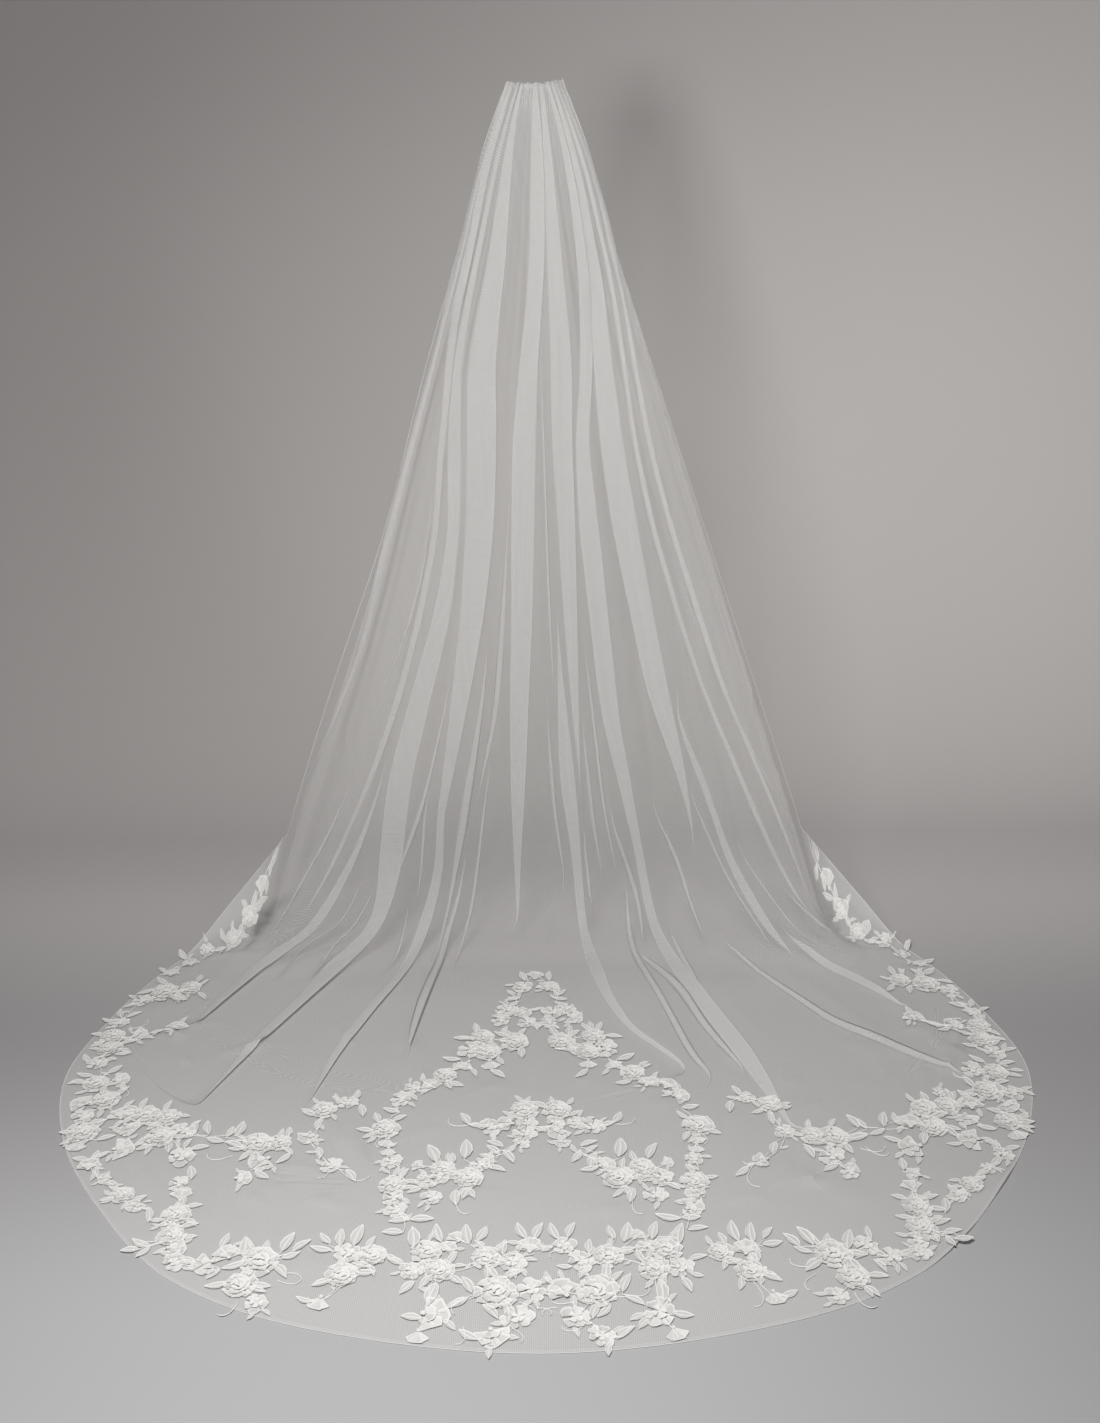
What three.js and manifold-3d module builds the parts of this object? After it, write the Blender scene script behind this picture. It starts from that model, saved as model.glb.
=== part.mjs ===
// A long bridal veil: one sheet of net gathered on a comb, hung in pleats and laid out as a round train,
// with floral lace applied round the train. Millimetres, +Z up. The origin is the middle of the gather,
// where the comb sits; the train runs towards -Y and the wearer stands on the +Y side.
import * as THREE from 'three';
import { mergeVertices } from 'three/addons/utils/BufferGeometryUtils.js';
import Module from 'manifold-3d';

const wasm = await Module();
wasm.setup();

// Driving dimensions
const combHeight = 1700; // the gather above the floor
const gatherWidth = 108; // the sewn top edge
const clothWall = 2; // net with its air, as a wall
const pleatCount = 16; // pleats across the gather
const columnsPerPleat = 4;
const laceWall = 1.2;
const roseRelief = 0.9; // raised heart of a rose
const laceGap = 0.35; // lace above the net
const slopeGap = 3.0; // the same where the net climbs to the corners
const stemWidth = 4;
const combWidth = 96;
const combDepth = 3;
const combBarHeight = 9;
const combTeeth = 9;
const toothLength = 42;
const toothTopHalf = 2.4; // half of a tooth's width at the bar and at its tip
const toothTipHalf = 1.2;
const combBelowEdge = 2; // below the sewn edge
const floorZ = -combHeight;

// Half of the sheet, from its middle (across 0) to its side edge (across 1). The knee is where the falling
// net meets the floor, reach is how far its bend runs each way, and heights are above the floor.
const sheetStations = [
  { across: 0.0, kneeX: 0, kneeY: -165, kneeZ: 0, reach: 150, hemX: 0, hemY: -1725, hemZ: 0 },
  { across: 0.15, kneeX: 168, kneeY: -165, kneeZ: 0, reach: 165, hemX: 345, hemY: -1652, hemZ: 0 },
  { across: 0.27, kneeX: 283, kneeY: -170, kneeZ: 0, reach: 190, hemX: 565, hemY: -1510, hemZ: 0 },
  { across: 0.39, kneeX: 382, kneeY: -175, kneeZ: 0, reach: 215, hemX: 716, hemY: -1278, hemZ: 0 },
  { across: 0.5, kneeX: 455, kneeY: -180, kneeZ: 0, reach: 225, hemX: 815, hemY: -1048, hemZ: 0 },
  { across: 0.61, kneeX: 512, kneeY: -188, kneeZ: 0, reach: 210, hemX: 860, hemY: -800, hemZ: 0 },
  { across: 0.72, kneeX: 552, kneeY: -195, kneeZ: 0, reach: 170, hemX: 826, hemY: -550, hemZ: 0 },
  { across: 0.8, kneeX: 570, kneeY: -200, kneeZ: 0, reach: 125, hemX: 778, hemY: -370, hemZ: 0 },
  { across: 0.87, kneeX: 578, kneeY: -190, kneeZ: 0, reach: 75, hemX: 724, hemY: -232, hemZ: 4 },
  { across: 0.93, kneeX: 573, kneeY: -112, kneeZ: 60, reach: 40, hemX: 655, hemY: -108, hemZ: 62 },
  { across: 1.0, kneeX: 526, kneeY: -5, kneeZ: 232, reach: 22, hemX: 541, hemY: 0, hemZ: 178 },
];

// Rows down the sheet: which stretch, how far along it, and how deep the pleats stand there.
const sheetRows = [
  { stretch: 'hang', along: 0.0, pleat: 2 },
  { stretch: 'hang', along: 0.03, pleat: 3 },
  { stretch: 'hang', along: 0.12, pleat: 5 },
  { stretch: 'hang', along: 0.32, pleat: 9 },
  { stretch: 'hang', along: 0.55, pleat: 12 },
  { stretch: 'hang', along: 0.8, pleat: 14 },
  { stretch: 'hang', along: 1.0, pleat: 12 },
  { stretch: 'bend', along: 0.3, pleat: 9 },
  { stretch: 'bend', along: 0.6, pleat: 5 },
  { stretch: 'bend', along: 1.0, pleat: 0 },
  { stretch: 'train', along: 0.5, pleat: 0 },
  { stretch: 'train', along: 1.0, pleat: 0 },
];
const firstTrainRow = 6; // rows from here on can carry lace

// Lace heads of one half, measured out from the pattern's middle line. size is a head's radius or half a
// leaf's length, and heading is where it points: 0 outwards, 90 to the comb, 270 to the hem.
const headColumns = ['kind', 'x', 'y', 'size', 'heading'];
const laceSprays = {
  apex: [
    ['bud', 0, -372, 15, 90],
    ['leaf', 27, -372, 17, 80],
    ['flower', 27, -426, 20, 60],
    ['leaf', 48, -480, 14, 0],
    ['rose', 42, -538, 24, 120],
    ['flower', 72, -578, 18, 330],
    ['flower', 20, -592, 17, 200],
  ],
  leg: [
    ['rose', 42, -682, 28, 110],
    ['rose', 102, -658, 25, 90],
    ['leaf', 140, -662, 15, 0],
    ['rose', 88, -728, 26, 200],
    ['flower', 124, -714, 24, 10],
    ['bud', 88, -780, 17, 180],
    ['leaf', 75, -818, 17, 230],
    ['leaf', 158, -752, 17, 20],
    ['rose', 164, -816, 26, 30],
    ['flower', 192, -862, 19, 60],
    ['flower', 225, -874, 19, 60],
    ['flower', 244, -915, 20, 0],
  ],
  leg_foot: [
    ['rose', 266, -1030, 29, 0],
    ['leaf', 262, -966, 19, 70],
    ['bud', 258, -1092, 17, 0],
    ['flower', 248, -1146, 18, 20],
    ['rose', 243, -1228, 25, 0],
    ['flower', 240, -1270, 19, 180],
    ['flower', 233, -1312, 19, 20],
    ['leaf', 192, -1342, 18, 170],
    ['leaf', 232, -1350, 16, 300],
  ],
  chevron: [
    ['rose', 29, -965, 27, 95],
    ['rose', 32, -1030, 25, 240],
    ['flower', 34, -1084, 16, 270],
    ['flower', 70, -1016, 20, 20],
    ['flower', 93, -1034, 18, 300],
    ['leaf', 128, -1000, 19, 50],
  ],
  chevron_leg: [
    ['rose', 120, -1212, 28, 230],
    ['bud', 66, -1112, 16, 120],
    ['leaf', 56, -1140, 16, 250],
    ['leaf', 84, -1168, 20, 100],
    ['rose', 162, -1178, 25, 60],
    ['leaf', 128, -1108, 24, 92],
    ['leaf', 182, -1122, 22, 75],
    ['flower', 192, -1216, 18, 340],
    ['flower', 178, -1270, 19, 300],
    ['leaf', 140, -1274, 17, 260],
  ],
  front: [
    ['flower', 26, -1428, 20, 100],
    ['leaf', 26, -1380, 20, 90],
    ['flower', 52, -1476, 21, 250],
    ['rose', 92, -1462, 26, 110],
    ['leaf', 122, -1390, 20, 80],
    ['rose', 75, -1560, 34, 20],
    ['flower', 22, -1556, 23, 120],
    ['flower', 42, -1630, 25, 230],
    ['flower', 78, -1684, 21, 250],
    ['leaf', 112, -1676, 16, 30],
    ['leaf', 118, -1532, 18, 60],
    ['rose', 160, -1500, 26, 200],
    ['rose', 184, -1440, 27, 70],
    ['leaf', 162, -1386, 20, 85],
    ['leaf', 206, -1390, 22, 88],
    ['flower', 202, -1502, 22, 330],
    ['flower', 162, -1618, 26, 180],
    ['leaf', 196, -1628, 16, 0],
    ['bud', 184, -1680, 16, 280],
  ],
  border: [
    ['flower', 302, -1442, 22, 80],
    ['leaf', 316, -1396, 20, 85],
    ['leaf', 288, -1394, 22, 95],
    ['rose', 262, -1452, 22, 200],
    ['rose', 304, -1508, 26, 200],
    ['bud', 334, -1586, 16, 190],
    ['rose', 432, -1462, 32, 100],
    ['leaf', 394, -1412, 22, 110],
    ['leaf', 462, -1416, 20, 80],
    ['flower', 488, -1440, 18, 60],
    ['flower', 518, -1476, 21, 330],
    ['rose', 456, -1532, 26, 0],
    ['flower', 424, -1584, 19, 210],
    ['flower', 562, -1464, 20, 300],
  ],
  chain: [
    ['flower', 566, -1424, 19, 190],
    ['rose', 578, -1384, 23, 0],
    ['rose', 582, -1318, 27, 170],
    ['bud', 586, -1254, 17, 180],
    ['flower', 594, -1214, 17, 170],
    ['leaf', 622, -1404, 17, 20],
  ],
  diagonal: [
    ['flower', 648, -1292, 17, 300],
    ['rose', 678, -1250, 20, 170],
    ['bud', 712, -1200, 16, 200],
    ['flower', 752, -1148, 19, 80],
  ],
  band: [
    ['rose', 784, -1030, 27, 350],
    ['bud', 790, -1078, 16, 280],
    ['flower', 798, -972, 20, 290],
    ['rose', 776, -908, 31, 180],
    ['flower', 730, -952, 22, 90],
    ['rose', 690, -970, 27, 85],
    ['rose', 650, -980, 26, 60],
    ['flower', 706, -1088, 24, 180],
    ['rose', 652, -1048, 27, 270],
    ['flower', 614, -1034, 21, 90],
    ['flower', 604, -1116, 26, 200],
    ['leaf', 572, -1016, 19, 80],
    ['leaf', 520, -1024, 20, 110],
    ['rose', 482, -1078, 29, 90],
    ['rose', 446, -1074, 23, 60],
    ['flower', 470, -1146, 25, 330],
    ['flower', 492, -1200, 18, 180],
  ],
  lobe: [
    ['flower', 400, -1050, 19, 280],
    ['rose', 384, -956, 23, 60],
    ['flower', 346, -925, 19, 60],
    ['leaf', 320, -960, 15, 290],
    ['leaf', 378, -1116, 16, 250],
    ['flower', 352, -1160, 17, 200],
    ['leaf', 318, -1196, 16, 280],
  ],
  edge: [
    ['rose', 800, -832, 25, 60],
    ['leaf', 826, -800, 15, 20],
    ['flower', 760, -822, 20, 170],
    ['flower', 814, -752, 20, 60],
    ['rose', 801, -694, 25, 190],
    ['rose', 804, -636, 27, 60],
    ['flower', 762, -630, 20, 200],
    ['flower', 694, -594, 17, 80],
    ['flower', 806, -572, 19, 60],
    ['flower', 786, -480, 22, 20],
    ['rose', 742, -432, 31, 90],
    ['rose', 694, -412, 25, 70],
    ['leaf', 756, -368, 18, 40],
    ['flower', 746, -332, 15, 80],
    ['flower', 716, -280, 18, 70],
  ],
  corner: [
    ['flower', 690, -222, 16, 170],
    ['rose', 640, -186, 19, 180],
    ['flower', 612, -134, 18, 90],
    ['bud', 590, -84, 14, 60],
    ['leaf', 566, -48, 14, 90],
  ],
};
const middleSprays = ['apex', 'chevron', 'front']; // one piece across the middle line
const leaningSprays = ['apex', 'leg', 'leg_foot', 'chevron', 'chevron_leg'];
const leanAtApex = -19; // the pattern's middle line leans to -X towards the comb
const leanStartY = -1500;
const leanApexY = -400;

// Head outlines: a corner for each petal, and leaves as pointed lozenges.
const petalCounts = { rose: 6, flower: 5, bud: 4 };
const leafWidthRatio = 0.46; // width over length
const heartRatio = 0.5; // the raised heart over a rose
const heartFromSize = 26; // smaller roses stay flat
const touching = 0.7; // heads nearer than this share of their sizes need no stem

const radians = THREE.MathUtils.degToRad;

function readRow(row, columns) {
  return Object.fromEntries(columns.map((name, index) => [name, row[index]]));
}

// The whole sheet from side edge to side edge, mirrored from the half table.
const mirrored = sheetStations
  .slice(1)
  .reverse()
  .map((row) => ({ ...row, across: -row.across, kneeX: -row.kneeX, hemX: -row.hemX }));
const wholeSheet = [...mirrored, ...sheetStations];

// A value of the sheet table, curved smoothly between its rows.
function sheetValue(name, across) {
  const rows = wholeSheet;
  let i = 0;
  while (i < rows.length - 2 && across > rows[i + 1].across) i += 1;
  const slope = (k) => {
    const a = rows[Math.max(k - 1, 0)];
    const b = rows[Math.min(k + 1, rows.length - 1)];
    return (b[name] - a[name]) / (b.across - a.across);
  };
  const span = rows[i + 1].across - rows[i].across;
  const u = (across - rows[i].across) / span;
  const u2 = u * u;
  const u3 = u2 * u;
  return (
    (2 * u3 - 3 * u2 + 1) * rows[i][name] +
    (u3 - 2 * u2 + u) * span * slope(i) +
    (3 * u2 - 2 * u3) * rows[i + 1][name] +
    (u3 - u2) * span * slope(i + 1)
  );
}

// One point of the sheet's upper face, before its pleats.
function sheetPoint(across, stretch, along) {
  const top = new THREE.Vector3((gatherWidth / 2) * across, 0, 0);
  const value = (name) => sheetValue(name, across);
  const knee = new THREE.Vector3(value('kneeX'), value('kneeY'), floorZ + Math.max(value('kneeZ'), 0));
  const hem = new THREE.Vector3(value('hemX'), value('hemY'), floorZ + Math.max(value('hemZ'), 0));
  const reach = value('reach');
  const bendStart = knee.clone().addScaledVector(top.clone().sub(knee).normalize(), reach);
  const bendEnd = knee.clone().addScaledVector(hem.clone().sub(knee).normalize(), reach);
  if (stretch === 'hang') return top.lerp(bendStart, along);
  if (stretch === 'train') return bendEnd.lerp(hem, along);
  return new THREE.QuadraticBezierCurve3(bendStart, knee, bendEnd).getPoint(along);
}

// Points of the sheet's upper and under faces, row by row.
function sheetGrid() {
  const columns = pleatCount * columnsPerPleat;
  const upper = [];
  const under = [];
  sheetRows.forEach((row) => {
    const thickness = new THREE.Vector3(0, 1, 0);
    if (row.stretch === 'bend') thickness.set(0, 1 - row.along, -row.along).normalize();
    if (row.stretch === 'train') thickness.set(0, 0, -1);
    for (let c = 0; c <= columns; c += 1) {
      const across = (2 * c) / columns - 1;
      const point = sheetPoint(across, row.stretch, row.along);
      point.y -= row.pleat * Math.cos((2 * Math.PI * c) / columnsPerPleat);
      point.z += clothWall;
      upper.push(point);
      under.push(point.clone().addScaledVector(thickness, clothWall));
    }
  });
  return { upper, under, columns: columns + 1, rows: sheetRows.length };
}

function closedMesh(points, triangles) {
  const geometry = new THREE.BufferGeometry();
  const numbers = points.flatMap((p) => [p.x, p.y, p.z]);
  geometry.setAttribute('position', new THREE.Float32BufferAttribute(numbers, 3));
  geometry.setIndex(triangles);
  geometry.computeVertexNormals();
  return geometry;
}

// The two faces of the sheet and the rim that joins them, as one closed wall.
function sheetGeometry(grid) {
  const { upper, under, columns, rows } = grid;
  const offset = upper.length;
  const triangles = [];
  const rim = (a, b) => triangles.push(a, b, b + offset, a, b + offset, a + offset);
  for (let r = 0; r < rows - 1; r += 1) {
    for (let c = 0; c < columns - 1; c += 1) {
      const a = r * columns + c;
      const b = a + 1;
      const d = a + columns;
      const e = d + 1;
      triangles.push(a, d, e, a, e, b);
      triangles.push(a + offset, e + offset, d + offset, a + offset, b + offset, e + offset);
    }
  }
  for (let c = 0; c < columns - 1; c += 1) {
    rim(c, c + 1);
    rim((rows - 1) * columns + c + 1, (rows - 1) * columns + c);
  }
  for (let r = 0; r < rows - 1; r += 1) {
    rim((r + 1) * columns, r * columns);
    rim(r * columns + columns - 1, (r + 1) * columns + columns - 1);
  }
  return closedMesh([...upper, ...under], triangles);
}

const grid = sheetGrid();

// Height of the train's upper face at a place on the plan.
function trainHeight(x, y) {
  const { upper, columns, rows } = grid;
  let height = null;
  const test = (p, q, s) => {
    const area = (q.x - p.x) * (s.y - p.y) - (s.x - p.x) * (q.y - p.y);
    const u = ((x - p.x) * (s.y - p.y) - (s.x - p.x) * (y - p.y)) / area;
    const v = ((q.x - p.x) * (y - p.y) - (x - p.x) * (q.y - p.y)) / area;
    if (u < 0 || v < 0 || u + v > 1) return;
    const z = p.z + u * (q.z - p.z) + v * (s.z - p.z);
    if (height === null || z < height) height = z;
  };
  for (let r = firstTrainRow; r < rows - 1; r += 1) {
    for (let c = 0; c < columns - 1; c += 1) {
      const a = r * columns + c;
      test(upper[a], upper[a + columns], upper[a + columns + 1]);
      test(upper[a], upper[a + columns + 1], upper[a + 1]);
    }
  }
  return height ?? floorZ + clothWall;
}

function solidOf(geometry) {
  const bare = geometry.clone();
  bare.deleteAttribute('normal');
  bare.deleteAttribute('uv');
  const merged = mergeVertices(bare, 1e-4);
  return new wasm.Manifold(
    new wasm.Mesh({
      numProp: 3,
      vertProperties: new Float32Array(merged.attributes.position.array),
      triVerts: new Uint32Array(merged.index.array),
    }),
  );
}

function geometryOf(solid) {
  const mesh = solid.getMesh();
  const geometry = new THREE.BufferGeometry();
  geometry.setAttribute('position', new THREE.BufferAttribute(mesh.vertProperties, 3));
  geometry.setIndex(new THREE.BufferAttribute(mesh.triVerts, 1));
  geometry.computeVertexNormals();
  return geometry;
}

function extrudeOutline(points, depth) {
  const shape = new THREE.Shape(points.map(([x, y]) => new THREE.Vector2(x, y)));
  return solidOf(new THREE.ExtrudeGeometry(shape, { depth, bevelEnabled: false }));
}

// A corner for each petal, grown by grow for cutting a neighbour clear. Where a root is given, the corner
// nearest to it runs on into that head as the stem.
function petalOutline(head, ratio, grow, root) {
  const petals = petalCounts[head.kind];
  const radius = head.size * ratio + grow / Math.cos(Math.PI / petals);
  const start = root ? Math.atan2(root.y - head.y, root.x - head.x) : radians(head.heading);
  const corners = Array.from({ length: petals }, (_, k) => {
    const angle = start + (2 * Math.PI * k) / petals;
    return [head.x + radius * Math.cos(angle), head.y + radius * Math.sin(angle)];
  });
  if (root) corners[0] = [root.x, root.y];
  return corners;
}

// A leaf is a kite from inside the head that it grows from to its own tip.
function leafOutline(head, root, grow) {
  const tipX = head.x + head.size * Math.cos(radians(head.heading));
  const tipY = head.y + head.size * Math.sin(radians(head.heading));
  const length = Math.hypot(tipX - root.x, tipY - root.y);
  const ux = (tipX - root.x) / length;
  const uy = (tipY - root.y) / length;
  const shoulder = Math.max(length - head.size, length / 2);
  const halfWidth = head.size * leafWidthRatio + grow;
  const point = (u, v) => [root.x + u * ux - v * uy, root.y + u * uy + v * ux];
  return [point(0, 0), point(shoulder, -halfWidth), point(length + grow, 0), point(shoulder, halfWidth)];
}

// A stem is a wedge that narrows from a head into the one that it grows from.
function stemOutline(head, root, grow) {
  const side = (stemWidth / 2 + grow) / distanceBetween(head, root);
  const nx = (root.y - head.y) * side;
  const ny = (head.x - root.x) * side;
  return [
    [root.x - nx / 2, root.y - ny / 2],
    [head.x - nx, head.y - ny],
    [head.x + nx, head.y + ny],
    [root.x + nx / 2, root.y + ny / 2],
  ];
}

// Every outline of one spray on one side; each head's stem runs to the nearest head before it.
function sprayOutlines(name, side, grow) {
  const lean = (y) => {
    if (!leaningSprays.includes(name)) return 0;
    return leanAtApex * THREE.MathUtils.clamp((y - leanStartY) / (leanApexY - leanStartY), 0, 1);
  };
  const heads = laceSprays[name].map((row) => {
    const head = readRow(row, headColumns);
    const heading = side > 0 ? head.heading : 180 - head.heading;
    return { ...head, x: side * head.x + lean(head.y), heading };
  });
  const outlines = [];
  const hearts = [];
  heads.forEach((head, index) => {
    const gapTo = (other) => distanceBetween(other, head) - touching * (other.size + head.size);
    const root = heads
      .slice(0, index)
      .filter((other) => other.kind !== 'leaf')
      .sort((a, b) => gapTo(a) - gapTo(b))[0];
    if (head.kind === 'leaf') {
      const back = head.size * Math.cos(radians(head.heading));
      const down = head.size * Math.sin(radians(head.heading));
      outlines.push(leafOutline(head, root ?? { x: head.x - back, y: head.y - down }, grow));
      return;
    }
    outlines.push(petalOutline(head, 1, grow, root && gapTo(root) > 0 ? root : null));
    if (head.kind === 'rose' && head.size >= heartFromSize) {
      hearts.push(petalOutline(head, heartRatio, 0, null));
    }
  });
  const twin = { ...heads[0], x: 2 * lean(heads[0].y) - heads[0].x };
  if (middleSprays.includes(name) && twin.x !== heads[0].x) {
    outlines.push(stemOutline(heads[0], twin, grow));
  }
  return { outlines, hearts };
}

function distanceBetween(a, b) {
  return Math.hypot(a.x - b.x, a.y - b.y);
}

function joinOutlines(names, sides, grow, depth) {
  let solid = null;
  names.forEach((name) => {
    sides.forEach((side) => {
      const { outlines, hearts } = sprayOutlines(name, side, grow);
      const solids = outlines.map((points) => extrudeOutline(points, depth));
      if (grow === 0) solids.push(...hearts.map((points) => extrudeOutline(points, depth + roseRelief)));
      solids.forEach((piece) => {
        solid = solid ? solid.add(piece) : piece;
      });
    });
  });
  return solid;
}

// Laid on the net: flat on the floor, and following the net where it climbs.
function layOnTrain(geometry, gap) {
  const position = geometry.attributes.position;
  for (let i = 0; i < position.count; i += 1) {
    const z = trainHeight(position.getX(i), position.getY(i)) + gap + position.getZ(i);
    position.setZ(i, z);
  }
  geometry.computeVertexNormals();
  return geometry;
}

const cutClearance = 0.5;
const cutDepth = 6;

function lacePiece(names, sides, neighbours, gap) {
  let solid = joinOutlines(names, sides, 0, laceWall);
  if (neighbours.length) {
    const cutter = joinOutlines(neighbours, sides, cutClearance, cutDepth).translate([0, 0, -1]);
    solid = solid.subtract(cutter);
  }
  return layOnTrain(geometryOf(solid.asOriginal()), gap);
}

const netMaterial = new THREE.MeshStandardMaterial({ color: 0xe6e5e1, roughness: 0.85, metalness: 0 });
const laceMaterial = new THREE.MeshStandardMaterial({ color: 0xf3f1ea, roughness: 0.8, metalness: 0 });
const combMaterial = new THREE.MeshStandardMaterial({ color: 0xe9e9ea, roughness: 0.35, metalness: 0 });

const veil = new THREE.Group();

function addNode(name, geometry, material) {
  const mesh = new THREE.Mesh(geometry, material);
  mesh.name = name;
  veil.add(mesh);
  return mesh;
}

// The comb lies flat against the back of the gather, its teeth pointing down and out of sight.
function combGeometry() {
  const pitch = combWidth / combTeeth;
  const shape = new THREE.Shape();
  shape.moveTo(-combWidth / 2, 0);
  for (let k = 0; k < combTeeth; k += 1) {
    const x = -combWidth / 2 + (k + 0.5) * pitch;
    shape.lineTo(x - toothTopHalf, -combBarHeight);
    shape.lineTo(x - toothTipHalf, -combBarHeight - toothLength);
    shape.lineTo(x + toothTipHalf, -combBarHeight - toothLength);
    shape.lineTo(x + toothTopHalf, -combBarHeight);
  }
  shape.lineTo(combWidth / 2, 0);
  const geometry = new THREE.ExtrudeGeometry(shape, { depth: combDepth, bevelEnabled: false });
  geometry.rotateX(Math.PI / 2);
  return geometry;
}

addNode('veil_tulle', sheetGeometry(grid), netMaterial);

const comb = addNode('veil_comb', combGeometry(), combMaterial);
comb.position.set(0, sheetRows[0].pleat + clothWall + combDepth, -combBelowEdge);

// Each lace piece: its sprays, and the neighbours that it is cut clear of.
const lacePieces = [
  { node: 'lace_apex', sprays: ['apex'], clearOf: [] },
  { node: 'lace_chevron', sprays: ['chevron'], clearOf: [] },
  { node: 'lace_front', sprays: ['front'], clearOf: [] },
  { node: 'lace_leg', sprays: ['leg'], clearOf: ['apex'] },
  { node: 'lace_leg_foot', sprays: ['leg_foot'], clearOf: ['leg', 'front'] },
  { node: 'lace_chevron_leg', sprays: ['chevron_leg'], clearOf: ['chevron', 'leg_foot'] },
  { node: 'lace_border', sprays: ['border'], clearOf: ['front', 'leg_foot'] },
  { node: 'lace_chain', sprays: ['chain'], clearOf: ['border'] },
  { node: 'lace_diagonal', sprays: ['diagonal'], clearOf: ['chain'] },
  { node: 'lace_band', sprays: ['band'], clearOf: ['chain', 'diagonal'] },
  { node: 'lace_lobe', sprays: ['lobe'], clearOf: ['band', 'leg_foot'] },
  { node: 'lace_edge', sprays: ['edge'], clearOf: ['band'] },
  { node: 'lace_corner', sprays: ['corner'], clearOf: ['edge'], gap: slopeGap },
];

lacePieces.forEach(({ node, sprays, clearOf, gap = laceGap }) => {
  if (middleSprays.includes(sprays[0])) {
    addNode(node, lacePiece(sprays, [1, -1], clearOf, gap), laceMaterial);
    return;
  }
  addNode(`${node}_R`, lacePiece(sprays, [1], clearOf, gap), laceMaterial);
  addNode(`${node}_L`, lacePiece(sprays, [-1], clearOf, gap), laceMaterial);
});

export default veil;
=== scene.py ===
import math

import bpy
import numpy as np
from mathutils import Euler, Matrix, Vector


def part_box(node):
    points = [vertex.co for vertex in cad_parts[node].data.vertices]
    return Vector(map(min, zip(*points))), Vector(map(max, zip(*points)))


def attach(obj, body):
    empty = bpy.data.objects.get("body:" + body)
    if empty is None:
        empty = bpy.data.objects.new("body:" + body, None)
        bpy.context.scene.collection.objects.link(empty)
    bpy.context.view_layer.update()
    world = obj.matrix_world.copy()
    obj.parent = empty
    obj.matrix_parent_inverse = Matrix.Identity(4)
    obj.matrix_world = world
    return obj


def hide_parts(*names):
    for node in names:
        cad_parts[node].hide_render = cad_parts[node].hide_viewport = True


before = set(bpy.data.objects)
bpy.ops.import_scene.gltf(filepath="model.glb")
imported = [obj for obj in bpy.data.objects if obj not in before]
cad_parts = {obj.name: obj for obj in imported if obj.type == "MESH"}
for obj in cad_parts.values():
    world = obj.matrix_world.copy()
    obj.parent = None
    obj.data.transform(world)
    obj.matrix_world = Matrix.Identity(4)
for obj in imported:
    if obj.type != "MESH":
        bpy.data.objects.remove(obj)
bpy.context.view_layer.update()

# Metres, +Z up. The origin is the middle of the gather, the train runs towards -Y.
floorHeight = -1.7
gatherHalf = 0.054
netLift = 0.0012  # the net's middle layer above the floor
random = np.random.default_rng(14)


# Values of a table at x, curved smoothly between its rows.
def curved(x, xs, ys):
    x, xs, ys = (np.asarray(v, float) for v in (x, xs, ys))
    slopes = np.empty_like(ys)
    slopes[1:-1] = (ys[2:] - ys[:-2]) / (xs[2:] - xs[:-2])
    slopes[0] = (ys[1] - ys[0]) / (xs[1] - xs[0])
    slopes[-1] = (ys[-1] - ys[-2]) / (xs[-1] - xs[-2])
    x = np.clip(x, xs[0], xs[-1])
    i = np.clip(np.searchsorted(xs, x, side="right") - 1, 0, len(xs) - 2)
    span = xs[i + 1] - xs[i]
    u = (x - xs[i]) / span
    return (
        (2 * u**3 - 3 * u**2 + 1) * ys[i]
        + (u**3 - 2 * u**2 + u) * span * slopes[i]
        + (3 * u**2 - 2 * u**3) * ys[i + 1]
        + (u**3 - u**2) * span * slopes[i + 1]
    )


# Half of the sheet, from its middle (across 0) to its side edge (across 1), in millimetres: where the
# falling net meets the floor, how far that bend reaches, and where the hem lies. Heights are off the floor.
sheetColumns = ("across", "kneeX", "kneeY", "kneeZ", "reach", "hemX", "hemY", "hemZ")
sheetRows = [
    (0.00, 0, -165, 0, 150, 0, -1725, 0),
    (0.15, 168, -165, 0, 165, 345, -1652, 0),
    (0.27, 283, -170, 0, 190, 565, -1510, 0),
    (0.39, 382, -175, 0, 215, 716, -1278, 0),
    (0.50, 455, -180, 0, 225, 815, -1048, 0),
    (0.61, 512, -188, 0, 210, 860, -800, 0),
    (0.72, 552, -195, 0, 170, 826, -550, 0),
    (0.80, 570, -200, 0, 125, 778, -370, 0),
    (0.87, 578, -190, 0, 75, 724, -232, 4),
    (0.93, 573, -112, 60, 40, 655, -108, 62),
    (1.00, 526, -5, 232, 22, 541, 0, 178),
]
halfSheet = dict(zip(sheetColumns, np.array(sheetRows, float).T))


# A column of the sheet table for the whole width, mirrored from its half, in metres.
def sheetValue(name, across):
    odd = name in ("kneeX", "hemX")
    xs = np.concatenate([-halfSheet["across"][:0:-1], halfSheet["across"]])
    ys = np.concatenate([(-1 if odd else 1) * halfSheet[name][:0:-1], halfSheet[name]])
    return curved(across, xs, ys) / 1000


# How the sheet hangs: the most of the train that a bend takes, the bell below the gathers, and how far the
# left side is drawn towards the middle.
drape = {
    "mostReach": 0.98,
    "bell": 0.009,
    "bellPlace": 0.09,
    "bellSpread": 0.07,
    "bellStart": 0.02,
    "pull": 0.016,
    "pullPlace": 0.6,
    "pullSpread": 0.17,
}


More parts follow.
